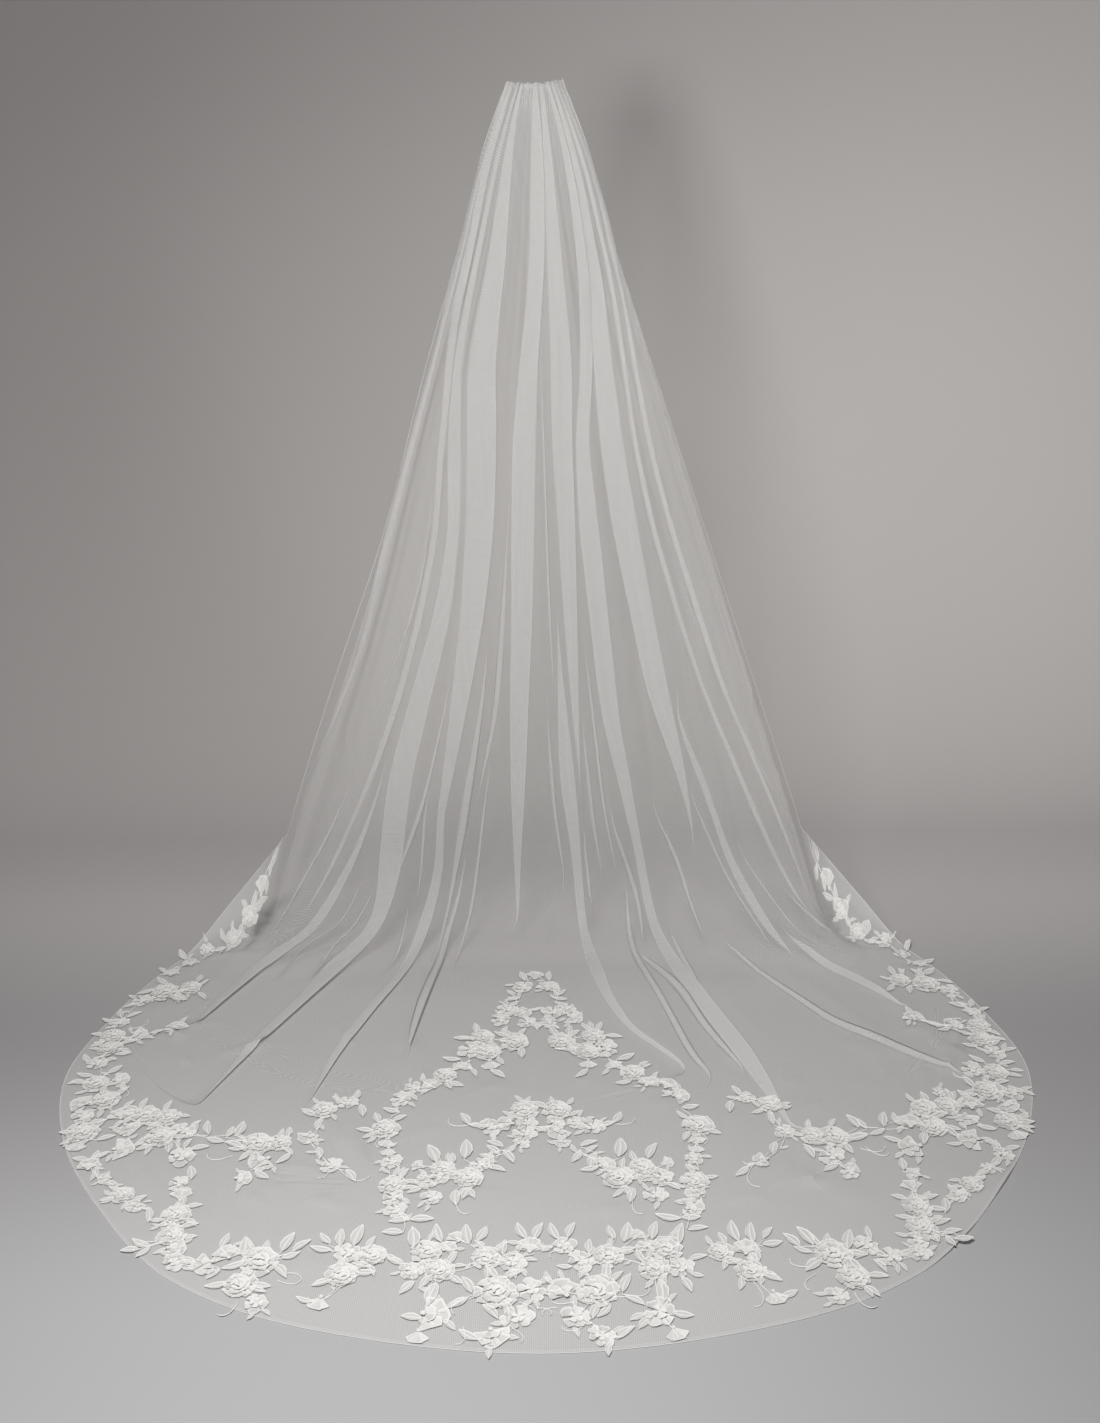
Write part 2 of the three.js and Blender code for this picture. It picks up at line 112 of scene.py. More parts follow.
# Down the sheet: 0 at the gather, 1 where it meets the floor, 2 at the hem.
def sheetPoints(across, down):
    across, down = np.broadcast_arrays(np.asarray(across, float), np.asarray(down, float))
    top = np.stack([gatherHalf * across, 0 * across, 0 * across], -1)
    kneeZ = floorHeight + np.maximum(sheetValue("kneeZ", across), 0)
    hemZ = floorHeight + np.maximum(sheetValue("hemZ", across), 0)
    knee = np.stack([sheetValue("kneeX", across), sheetValue("kneeY", across), kneeZ], -1)
    hem = np.stack([sheetValue("hemX", across), sheetValue("hemY", across), hemZ], -1)
    fall = np.linalg.norm(knee - top, axis=-1, keepdims=True)
    run = np.linalg.norm(hem - knee, axis=-1, keepdims=True)
    reach = np.minimum(sheetValue("reach", across)[..., None], drape["mostReach"] * run)
    start = knee + (top - knee) / fall * reach
    end = knee + (hem - knee) / run * reach
    past = (down - 1)[..., None]
    distance = np.where(past <= 0, past * fall, past * run)
    u = np.clip((distance + reach) / (2 * reach), 0, 1)
    bend = (1 - u) ** 2 * start + 2 * u * (1 - u) * knee + u**2 * end
    hang = knee - (top - knee) / fall * distance
    train = knee + (hem - knee) / run * distance
    points = np.where(distance < -reach, hang, np.where(distance > reach, train, bend))
    bell = np.exp(-(((down - drape["bellPlace"]) / drape["bellSpread"]) ** 2))
    points[..., 0] += drape["bell"] * across * bell * np.minimum(down / drape["bellStart"], 1)
    drawn = np.exp(-(((down - drape["pullPlace"]) / drape["pullSpread"]) ** 2))
    points[..., 0] += drape["pull"] * drawn * np.clip(-across, 0, 1)
    return points


# The folds of the photographed veil, placed against a grid of the sheet drawn over the photo, the
# first six partly computed. How far down, where across and half the width, in
# thousandths.
foldPaths = {
    "band": [(0, -930, 60), (150, -900, 80), (300, -830, 70), (500, -800, 60), (650, -760, 45),
             (770, -880, 15), (850, -940, 0)],
    "lineA": [(780, -530, 0), (850, -575, 7), (890, -620, 9), (930, -680, 12), (990, -690, 12),
              (1060, -680, 0)],
    "lineB": [(450, -480, 0), (550, -440, 6), (640, -470, 7), (705, -525, 0)],
    "leftLong": [(0, -800, 70), (130, -725, 90), (240, -665, 60), (350, -520, 25), (500, -415, 16),
                 (600, -415, 14), (700, -430, 14), (800, -470, 10), (930, -555, 7), (970, -580, 0)],
    "leftWing": [(790, -420, 0), (850, -440, 7), (930, -485, 16), (1010, -520, 22), (1100, -570, 34),
                 (1210, -590, 30), (1430, -550, 13), (1530, -530, 0)],
    "lineC": [(925, -415, 0), (990, -430, 4), (1060, -500, 6), (1110, -510, 6), (1230, -490, 0)],
    "lineD": [(935, -370, 0), (1000, -395, 5), (1060, -425, 6), (1130, -420, 5), (1190, -415, 0)],
    "leftBroad": [(0, -580, 35), (200, -540, 35), (300, -500, 35), (400, -400, 42), (500, -325, 25),
                  (600, -320, 34), (700, -348, 38), (800, -365, 38), (900, -347, 33), (950, -338, 22),
                  (1000, -340, 17), (1100, -378, 28), (1150, -385, 25), (1250, -387, 17),
                  (1400, -392, 12), (1550, -390, 6), (1700, -385, 0)],
    "leftJoin": [(665, -250, 0), (700, -257, 4), (800, -275, 6), (850, -290, 8), (890, -310, 7),
                 (920, -325, 0)],
    "lineE": [(960, -275, 0), (1030, -268, 4), (1070, -265, 4), (1120, -265, 0)],
    "lineF": [(810, -280, 0), (860, -270, 5), (910, -262, 4), (950, -258, 0)],
    "leftInner": [(0, -450, 50), (100, -360, 75), (200, -325, 90), (300, -325, 95), (400, -250, 75),
                  (500, -218, 58), (600, -211, 42), (700, -217, 27), (800, -225, 14), (850, -233, 8),
                  (900, -218, 10), (1000, -230, 13), (1150, -238, 10), (1250, -250, 10),
                  (1400, -258, 8), (1550, -250, 0)],
    "leftBright": [(640, -150, 0), (700, -152, 6), (760, -160, 9), (820, -170, 12), (870, -175, 11),
                   (920, -182, 6), (1000, -188, 3), (1080, -187, 0)],
    "lineG": [(895, -160, 0), (950, -167, 5), (1000, -177, 6), (1100, -178, 9), (1200, -176, 9),
              (1300, -170, 6), (1390, -160, 0)],
    "leftThin": [(440, -110, 0), (550, -111, 6), (650, -112, 11), (700, -113, 9), (750, -121, 7),
                 (825, -145, 0)],
    "lineH": [(780, -120, 0), (850, -129, 4), (950, -137, 4), (1050, -147, 2), (1130, -148, 0)],
    "middle": [(0, 25, 90), (100, 20, 75), (200, 0, 55), (300, -45, 45), (400, -61, 49), (500, -59, 40),
               (600, -56, 31), (700, -58, 24), (800, -56, 17), (900, -54, 7), (1000, -49, 0)],
    "lineI": [(700, 10, 0), (800, 18, 5), (850, 24, 4), (900, 34, 3), (940, 42, 0)],
    "lineJ": [(250, 10, 0), (400, 18, 5), (600, 23, 5), (700, 30, 0)],
    "rightMiddle": [(620, 45, 0), (700, 47, 9), (800, 52, 17), (850, 59, 13), (900, 64, 9),
                    (1000, 67, 7), (1100, 78, 11), (1200, 86, 7), (1300, 104, 4), (1400, 147, 3),
                    (1450, 161, 0)],
    "rightInner": [(0, 210, 55), (100, 145, 60), (200, 135, 58), (300, 122, 60), (400, 93, 42),
                   (500, 88, 30), (600, 82, 20), (700, 80, 10), (750, 79, 6), (800, 81, 0)],
    "lineK": [(865, 80, 0), (900, 83, 4), (940, 85, 4), (965, 85, 0)],
    "lineL": [(735, 93, 0), (770, 97, 4), (820, 100, 5), (870, 103, 4), (930, 116, 0)],
    "lineM": [(650, 115, 0), (700, 120, 4), (800, 125, 5), (850, 129, 4), (930, 145, 0)],
    "rightLongA": [(935, 163, 0), (980, 152, 5), (1050, 148, 6), (1200, 162, 5), (1400, 169, 5),
                   (1480, 176, 0)],
    "rightLongB": [(1065, 153, 0), (1100, 173, 6), (1150, 191, 8), (1200, 201, 8), (1300, 205, 6),
                   (1400, 216, 4), (1470, 227, 0)],
    "lineN": [(835, 132, 0), (870, 147, 5), (910, 168, 6), (950, 180, 6), (1000, 177, 4),
              (1040, 171, 0)],
    "rightBroad": [(0, 470, 60), (100, 440, 60), (200, 370, 50), (300, 270, 42), (400, 176, 29),
                   (500, 167, 37), (600, 166, 30), (700, 166, 26), (750, 169, 21), (800, 183, 17),
                   (850, 190, 12), (900, 198, 10), (1000, 202, 10), (1100, 215, 13), (1200, 223, 14),
                   (1400, 236, 13), (1500, 238, 9), (1640, 236, 0)],
    "lineO": [(1010, 232, 0), (1060, 236, 5), (1140, 237, 5), (1200, 233, 0)],
    "lineP": [(825, 238, 0), (870, 264, 5), (900, 290, 6), (1000, 300, 4), (1040, 301, 0)],
    "rightOuter": [(0, 620, 50), (100, 570, 60), (200, 500, 70), (300, 375, 65), (400, 324, 62),
                   (500, 313, 57), (600, 316, 44), (700, 320, 37), (750, 334, 25), (800, 345, 14),
                   (870, 345, 0)],
    "rightLongC": [(1030, 335, 0), (1105, 361, 5), (1200, 379, 6), (1300, 398, 7), (1400, 412, 8),
                   (1500, 445, 9), (1600, 470, 8), (1700, 495, 5), (1780, 510, 0)],
    "lineQ": [(815, 350, 0), (850, 378, 6), (900, 403, 6), (950, 425, 6), (1000, 446, 5),
              (1080, 450, 0)],
    "rightBranch": [(715, 365, 0), (750, 377, 8), (800, 408, 13), (850, 424, 10), (900, 438, 13),
                    (950, 461, 17), (1000, 474, 14), (1050, 479, 10), (1110, 490, 0)],
    "rightWing": [(1040, 520, 0), (1110, 545, 12), (1210, 555, 16), (1300, 575, 15), (1400, 580, 10),
                  (1520, 572, 0)],
    "lineR": [(880, 468, 0), (920, 508, 6), (960, 540, 7), (1000, 563, 6), (1050, 575, 0)],
    "lineS": [(955, 620, 0), (980, 680, 14), (1000, 730, 16), (1030, 770, 0)],
    "rightLineA": [(0, 760, 35), (100, 740, 40), (200, 680, 35), (300, 540, 22), (400, 462, 16),
                   (500, 447, 14), (600, 470, 13), (700, 500, 9), (800, 565, 12), (850, 595, 13),
                   (920, 648, 14), (985, 690, 0)],
    "lineT": [(555, 515, 0), (600, 542, 7), (640, 566, 0)],
    "rightLineB": [(0, 880, 25), (100, 890, 25), (200, 850, 35), (300, 658, 28), (400, 566, 20),
                   (500, 557, 18), (600, 584, 18), (700, 610, 14), (800, 690, 13), (850, 730, 15),
                   (900, 765, 12), (950, 780, 0)],
    "lineU": [(735, 633, 0), (760, 665, 8), (790, 715, 9), (825, 770, 0)],
}
broadPlaces = (-1, -0.8, -0.62, -0.52, -0.45, -0.4, -0.34, -0.2, 0, 0.2, 0.34, 0.4, 0.45, 0.52, 0.62, 0.8, 1)
finePlaces = (-1, -0.62, -0.38, 0, 0.38, 0.62, 1)
foldRules = {
    "plainShare": 0.88,  # a fold's half width over the half window of cloth that it takes up
    "atGather": 0.01,  # folds that start above this place start at the gather
    "runOn": 0.02,  # how far a fold keeps its place beyond its ends
    "soften": 0.02,  # the smoothing along a fold, and the lesser one of folds below this half width
    "softenFine": 0.012,
    "fineBelow": 0.012,
    "broadFrom": 0.0135,  # folds from this half width have the broad set of columns
    "leastWindow": 0.0008,
    "leastStep": 0.004,  # between the middles of two folds
    "mostTaken": 0.96,  # of the room between two middles
    "waitingShare": 0.3,
    "fullFrom": 0.15,  # shares of the window from which a fold and its crease have their full strength
    "creaseFrom": 0.4,
    "creaseSpread": 0.07,
    "gapStep": 0.022,  # between plain columns, of which a gap has at most this many
    "gapColumns": 6,
}
stackPeak = 1.95  # the largest value of the stack's curve


def foldShape(v):
    return v * (1 - v**2) ** 2


def foldStack(v):
    return np.clip(1 + v, 0, 2) ** 5 * np.clip(1 - v, 0, 2) ** 2 / stackPeak


# Where the columns of a fold turn back, and how wide the fold is then, for each strength of its overlap.
overlaps = np.linspace(1, 16, 200)
turns = np.sqrt((6 - np.sqrt(36 - 20 * (1 - 1 / overlaps))) / 10)
stripShares = overlaps * foldShape(turns) - turns

hemStart = 1.9935  # the narrow turned hem, about 9 mm wide at the front
rowBands = [(0, 0.05, 5), (0.05, 0.78, 27), (0.78, 1.3, 60), (1.3, hemStart, 72)]
hemRows = (hemStart, hemStart + 0.0005, 2)
downRows = np.concatenate([*(np.linspace(*band, endpoint=False) for band in rowBands), hemRows])

foldGrid = np.linspace(-0.3, 2.3, 521)
gridStep = 0.005
smoothSteps = 40


def smoothed(values, spread):
    steps = np.arange(-smoothSteps, smoothSteps + 1)
    weights = np.exp(-0.5 * (steps * gridStep / spread) ** 2)
    return np.convolve(np.pad(values, smoothSteps, mode="edge"), weights / weights.sum(), "valid")


# Each fold's middle, half width and half window at the rows of the sheet. Folds that stand side by
# side share the room between them; those that haven't started, or have run out, wait in the gaps.
def foldList():
    rules = foldRules
    paths = [np.array(path) / 1000 for path in foldPaths.values()]
    count = len(paths)
    middles, widths = [], []
    for path in paths:
        start = path[0, 0] - rules["runOn"] if path[0, 0] > rules["atGather"] else -1
        running = (foldGrid >= start) & (foldGrid <= path[-1, 0] + rules["runOn"])
        middles.append(np.where(running, np.interp(foldGrid, path[:, 0], path[:, 1]), np.nan))
        spread = rules["soften"] if path[:, 2].max() > rules["fineBelow"] else rules["softenFine"]
        widths.append(smoothed(np.interp(foldGrid, path[:, 0], path[:, 2], right=0), spread))
    middles, widths = np.array(middles), np.array(widths)
    windows = np.maximum(widths / rules["plainShare"], rules["leastWindow"])
    for row in range(len(foldGrid)):
        place, window = middles[:, row], windows[:, row]
        running = np.flatnonzero(~np.isnan(place))
        spaced = rules["leastStep"] * running
        place[running] = np.maximum.accumulate(place[running] - spaced) + spaced
        edges = np.concatenate([[-1], place[running], [1]])
        taken = np.concatenate([[0], window[running], [0]])
        shares = np.minimum(1, rules["mostTaken"] * np.diff(edges) / (taken[1:] + taken[:-1]))
        window[running] *= np.minimum(shares[1:], shares[:-1])
        before = np.concatenate([[-1], place[running] + window[running]])
        after = np.concatenate([place[running] - window[running], [1]])
        limits = np.concatenate([[-1], running, [count]])
        for k in range(len(limits) - 1):
            waiting = np.arange(limits[k] + 1, limits[k + 1])
            room = (after[k] - before[k]) / (len(waiting) + 1)
            place[waiting] = before[k] + room * (np.arange(len(waiting)) + 1)
            window[waiting] = min(rules["leastWindow"], rules["waitingShare"] * room)
    folds = []
    for k, path in enumerate(paths):
        values = {
            "middle": smoothed(middles[k], rules["soften"]),
            "width": widths[k],
            "window": smoothed(windows[k], rules["soften"]),
        }
        fold = {name: np.interp(downRows, foldGrid, along) for name, along in values.items()}
        fold["places"] = broadPlaces if path[:, 2].max() > rules["broadFrom"] else finePlaces
        folds.append(fold)
    return folds


# Where each column of the sheet runs once folded, row by row, with its stack height and crease.
def foldColumns(folds):
    cloth, across, stack, wide, crease = [], [], [], [], []

    def plain(values):
        cloth.append(values)
        across.append(values)
        stack.append(0 * values)
        wide.append(0 * values)
        crease.append(0 * values)

    plain(np.full(len(downRows), -1.0))
    before = np.full(len(downRows), -1.0)
    for fold in folds:
        middle, window = fold["middle"], fold["window"]
        shares = fold["width"] / window
        strength = np.interp(shares, stripShares, overlaps) * np.clip(shares / foldRules["fullFrom"], 0, 1)
        turnPlace = np.interp(strength, overlaps, turns)
        left = middle - window
        for share in gapShares(left - before):
            plain(before + (left - before) * share)
        for v in fold["places"]:
            cloth.append(middle + window * v)
            across.append(middle + window * (v - strength * foldShape(v)))
            stack.append(foldStack(-v) + 0 * middle)
            wide.append(fold["width"])
            near = np.exp(-(((abs(v) - turnPlace) / foldRules["creaseSpread"]) ** 2))
            crease.append(near * np.clip(shares / foldRules["creaseFrom"], 0, 1))
        before = middle + window
    for share in gapShares(1 - before):
        plain(before + (1 - before) * share)
    plain(np.full(len(downRows), 1.0))
    return [np.array(values).T for values in (cloth, across, stack, wide, crease)]


def gapShares(gap):
    widest = np.max(gap[downRows > 0.5])
    count = min(int(widest / foldRules["gapStep"]), foldRules["gapColumns"])
    return [(n + 1) / (count + 1) for n in range(count)]


# Wrinkles of the train, read off a 100 mm grid drawn over a plan view of the photo, in plan
# millimetres: from, to, height and width.
wrinkles = [
    (-395, -1100, -380, -1265, 6, 6), (-380, -1265, -340, -1270, 6, 6), (-340, -1270, -320, -1310, 5, 6),
    (-340, -980, -325, -1185, 5, 6), (-320, -985, -305, -1190, 6, 7), (-260, -1055, -165, -1035, 5, 5),
    (-495, -1295, -465, -1240, 5, 7), (-465, -1240, -410, -1215, 5, 7), (-530, -1350, -515, -1295, 4, 8),
    (-680, -1155, -665, -1095, 4, 7), (-645, -1230, -635, -1135, 6, 7), (-300, -790, -255, -755, 4, 6),
    (-255, -560, -255, -810, 5, 7), (-370, -535, -375, -700, 5, 6), (-225, -770, -210, -895, 5, 6),
    (-140, -895, -50, -865, 4, 8), (-680, -770, -600, -735, 5, 6), (-600, -735, -510, -650, 5, 6),
    (-595, -755, -510, -630, 4, 6), (-800, -770, -745, -670, 6, 7), (-745, -670, -665, -615, 6, 7),
    (-665, -615, -625, -550, 5, 7), (-680, -260, -610, -235, 5, 8), (-635, -270, -565, -260, 4, 8),
    (415, -1175, 490, -1330, 8, 6), (290, -1290, 360, -1250, 6, 10), (360, -1250, 385, -1180, 6, 9),
    (395, -1140, 400, -1250, 6, 7), (430, -810, 440, -910, 4, 7), (440, -910, 460, -995, 5, 7),
    (560, -850, 570, -915, 4, 7), (650, -805, 685, -800, 4, 8), (705, -750, 730, -850, 5, 8),
    (720, -735, 775, -750, 6, 7), (655, -650, 745, -670, 5, 6), (745, -670, 775, -680, 5, 6),
    (570, -675, 610, -780, 4, 8), (105, -880, 160, -890, 5, 6), (170, -950, 220, -925, 5, 6),
    (190, -915, 205, -795, 4, 7), (50, -835, 90, -860, 4, 6), (-140, -1295, -75, -1255, 4, 12),
    (60, -1340, 140, -1300, 4, 12), (-390, -1500, -350, -1430, 6, 8), (770, -1165, 690, -1330, 5, 14),
    (575, -1560, 700, -1350, 5, 16),
]
# Short fine ridges between the wrinkles, drawn at random: heights and widths in millimetres.
fineRidges = {
    "count": 40,
    "across": (-0.85, 0.85),
    "start": (1.05, 1.6),
    "length": (0.2, 0.4),
    "drift": (0.96, 1.06),
    "height": (0.8, 2.4),
    "width": (9, 22),
}
ridgeShape = {"lift": 1.4, "sway": 0.012, "swayCount": 5, "taper": 1.15, "round": 0.05}


# How high the ridges lift the train at each point.
def ridgeHeights(points):
    fine = fineRidges
    ridges = [(*(v / 1000 for v in row[:4]), *row[4:]) for row in wrinkles]
    for _ in range(fine["count"]):
        across = random.uniform(*fine["across"])
        start = random.uniform(*fine["start"])
        drifted = across * random.uniform(*fine["drift"])
        ends = sheetPoints([across, drifted], [start, start + random.uniform(*fine["length"])])
        height, width = random.uniform(*fine["height"]), random.uniform(*fine["width"])
        ridges.append((*ends[0][:2], *ends[1][:2], height, width))
    total = np.zeros(points.shape[:-1])
    for x0, y0, x1, y1, height, width in ridges:
        along = np.array([x1 - x0, y1 - y0])
        length = np.hypot(*along)
        rel = points[..., :2] - (x0, y0)
        s = (rel @ along) / length**2
        off = (rel[..., 0] * along[1] - rel[..., 1] * along[0]) / length
        off = off + ridgeShape["sway"] * np.sin(ridgeShape["swayCount"] * s + 9 * x0)
        taper = np.clip(ridgeShape["taper"] - np.abs(2 * s - 1), 0, 1)
        taper = taper**2 * (3 - 2 * taper)
        profile = np.exp(-np.sqrt((off * 1000 / width) ** 2 + ridgeShape["round"]))
        total += ridgeShape["lift"] * height / 1000 * taper * profile
    return total


def meshObject(name, vertices, faces, edges=()):
    mesh = bpy.data.meshes.new(name)
    places = [tuple(map(float, v)) for v in vertices]
    mesh.from_pydata(places, [tuple(e) for e in edges], [tuple(map(int, f)) for f in faces])
    mesh.update()
    made = bpy.data.objects.new(name, mesh)
    bpy.context.scene.collection.objects.link(made)
    return made


def setNumbers(mesh, name, values):
    attribute = mesh.attributes.new(name, "FLOAT", "POINT")
    attribute.data.foreach_set("value", np.asarray(values, np.float32).ravel())


netShape = {
    "hangingRise": 0.3,  # how far a fold's layers stand up, as a share of its half width, and at most
    "hangingMost": 0.006,
    "lyingRise": 0.28,
    "lyingLayer": 0.003,
    "lyingMost": 0.014,
    "lyingFrom": 0.95,  # where down the sheet it begins to lie, and over what length
    "lyingOver": 0.15,
    "waves": ((5, 0.7, 5), (9, 2.1, 4), (15, 4.0, 3), (26, 1.3, 1.6)),  # count, phase and millimetres
    "waveShare": 0.9,
    "waveDrift": 0.8,
    "wavesFullAt": 0.25,
    "wavesEnd": 1.12,
    "wavesFade": 0.3,
    "pleat": 0.0026,  # the small pleats at the gather
    "pleatCounts": (30, 47),
    "pleatEnd": 0.022,
    "ruffles": ((19, 0, 0.0012), (57, 1, 0.0007)),  # of the top edge: count, phase and height
    "topDip": 0.003,
    "topRight": 0.0045,
    "topLift": 0.001,
    "gatherEnd": 0.16,  # how far down the gathers' denser look reaches
    "flatFrom": 0.45,  # how level the net is where the lying net's denser look begins
    "flatStart": 1.0,  # and where down the sheet
    "flatOver": 0.25,
}


def buildNet():
    shape = netShape
    cloth, across, stack, wide, crease = foldColumns(foldList())
    down = np.broadcast_to(downRows[:, None], across.shape)
    points = sheetPoints(across, down)
    small = 1e-3
    sideways = sheetPoints(across + small, down) - sheetPoints(across - small, down)
    onward = sheetPoints(across, down + small) - sheetPoints(across, down - small)
    normals = np.cross(onward, sideways)
    normals /= np.linalg.norm(normals, axis=-1, keepdims=True)
    spread = np.linalg.norm(sideways, axis=-1) / (2 * small)
    lying = np.clip((down - shape["lyingFrom"]) / shape["lyingOver"], 0, 1)
    halfWidth = wide * spread
    risen = np.minimum(shape["hangingRise"] * halfWidth, shape["hangingMost"])
    layer = shape["lyingLayer"] * np.clip(halfWidth / shape["lyingLayer"], 0, 1)
    raised = np.minimum(shape["lyingRise"] * halfWidth + layer, shape["lyingMost"])
    layers = stack * (risen + (raised - risen) * lying)
    wave = np.zeros_like(across)
    for count, phase, size in shape["waves"]:
        wave += size / 1000 * np.sin(count * cloth * math.pi + phase + shape["waveDrift"] * down)
    fading = np.clip((shape["wavesEnd"] - down) / shape["wavesFade"], 0, 1)
    layers = layers + wave * (np.clip(down / shape["wavesFullAt"], 0, 1) * fading) * shape["waveShare"]
    first, second = (count * math.pi * cloth for count in shape["pleatCounts"])
    pleat = np.sin(first + 1.5 * np.sin(7 * cloth)) + 0.35 * np.sin(second + 2)
    layers = layers + shape["pleat"] * pleat * np.exp(-down / shape["pleatEnd"])
    points = points + normals * layers[..., None]
    points[..., 2] += ridgeHeights(points) * lying + netLift
    topEdge = cloth[0]
    ruffle = sum(height * np.sin(count * topEdge + phase) for count, phase, height in shape["ruffles"])
    points[0, :, 2] += ruffle - shape["topDip"] * (1 - topEdge**2)
    points[0, :, 2] += shape["topRight"] * np.clip(topEdge, 0, 1) ** 2 + shape["topLift"]
    points[..., 2] = np.maximum(points[..., 2], floorHeight + netLift)
    rows, columns = across.shape
    index = np.arange(rows * columns).reshape(rows, columns)
    faces = np.stack([index[:-1, :-1], index[1:, :-1], index[1:, 1:], index[:-1, 1:]], -1).reshape(-1, 4)
    net = meshObject("net", points.reshape(-1, 3), faces)
    stepAcross = np.linalg.norm(np.diff(points, axis=1), axis=-1)
    u = np.concatenate([np.zeros((rows, 1)), np.cumsum(stepAcross, axis=1)], axis=1)
    u -= u[:, [columns // 2]]
    stepDown = np.linalg.norm(np.diff(points, axis=0), axis=-1)
    v = np.concatenate([np.zeros((1, columns)), np.cumsum(stepDown, axis=0)], axis=0)
    uv = net.data.uv_layers.new(name="cloth")
    loops = np.empty(len(net.data.loops), np.int32)
    net.data.loops.foreach_get("vertex_index", loops)
    uv.data.foreach_set("uv", np.stack([u.ravel()[loops], -v.ravel()[loops]], -1).astype(np.float32).ravel())
    setNumbers(net.data, "crease", crease)
    setNumbers(net.data, "cloth", cloth)
    setNumbers(net.data, "down", down)
    setNumbers(net.data, "gather", np.exp(-down / shape["gatherEnd"]))
    setNumbers(net.data, "hem", down > hemStart)
    level = np.clip((np.abs(normals[..., 2]) - shape["flatFrom"]) / (1 - shape["flatFrom"]), 0, 1)
    flat = level * np.clip((down - shape["flatStart"]) / shape["flatOver"], 0, 1)
    setNumbers(net.data, "lying", flat * flat * (3 - 2 * flat))
    net.data.shade_smooth()
    return net


# An sRGB hex colour as linear red, green, blue and alpha.
def linear(code):
    parts = [int(code[i : i + 2], 16) / 255 for i in (1, 3, 5)]
    return [c / 12.92 if c <= 0.04045 else ((c + 0.055) / 1.055) ** 2.4 for c in parts] + [1.0]


# One node, its settings, and its inputs as values or as the sockets that feed them.
def add(tree, kind, inputs=None, **settings):
    node = tree.nodes.new(kind)
    for name, value in settings.items():
        setattr(node, name, value)
    for name, value in (inputs or {}).items():
        socket = node.inputs[name]
        if isinstance(value, bpy.types.NodeSocket):
            tree.links.new(value, socket)
        else:
            socket.default_value = value
    return node


def newMaterial(name):
    material = bpy.data.materials.new(name)
    material.use_nodes = True
    material.node_tree.nodes.clear()
    return material, material.node_tree


def calculated(tree, operation, *values):
    return add(tree, "ShaderNodeMath", dict(enumerate(values)), operation=operation).outputs[0]


# A value brought from one range to another.
def mapped(tree, value, given=(0, 1), wanted=(0, 1)):
    ends = {"From Min": given[0], "From Max": given[1], "To Min": wanted[0], "To Max": wanted[1]}
    return add(tree, "ShaderNodeMapRange", {"Value": value, **ends}).outputs[0]


def attribute(tree, name):
    return add(tree, "ShaderNodeAttribute", attribute_name=name).outputs["Fac"]


def objectPlace(tree):
    return add(tree, "ShaderNodeTexCoord").outputs["Object"]


def bump(tree, height, strength, distance):
    relief = {"Height": height, "Strength": strength, "Distance": distance}
    return add(tree, "ShaderNodeBump", relief).outputs[0]


def finishMaterial(tree, inputs):
    body = add(tree, "ShaderNodeBsdfPrincipled", inputs)
    add(tree, "ShaderNodeOutputMaterial", {"Surface": body.outputs[0]})


# Soft bridal net: hexagonal holes between fine matt threads, so cloth and backdrop show together.
# The real holes are about 1.5 mm; they are drawn at 3 mm, because finer ones can't be seen at this size.
netLook = {
    "cell": 0.003,
    "colour": "#ebeae8",
    "roughness": 0.85,
    "specular": 0.2,
    "sheen": 0.2,
    "through": 0.4,  # share of the light that passes through the threads
    "cellWaves": (0.2, -0.9),  # the sum of the three waves in a hole and on a thread
    "streaks": (95.0, 2.2, 1.0),
    "streakRange": (0.3, 0.7),
    "streakDepth": (-0.08, 0.08),
    "streakEnd": (0.8, 1.05),  # down the sheet
}
netOpacity = {"hole": 0.15, "thread": 0.335, "crease": 0.09, "gather": 0.3, "lying": 0.4, "hem": 0.1}


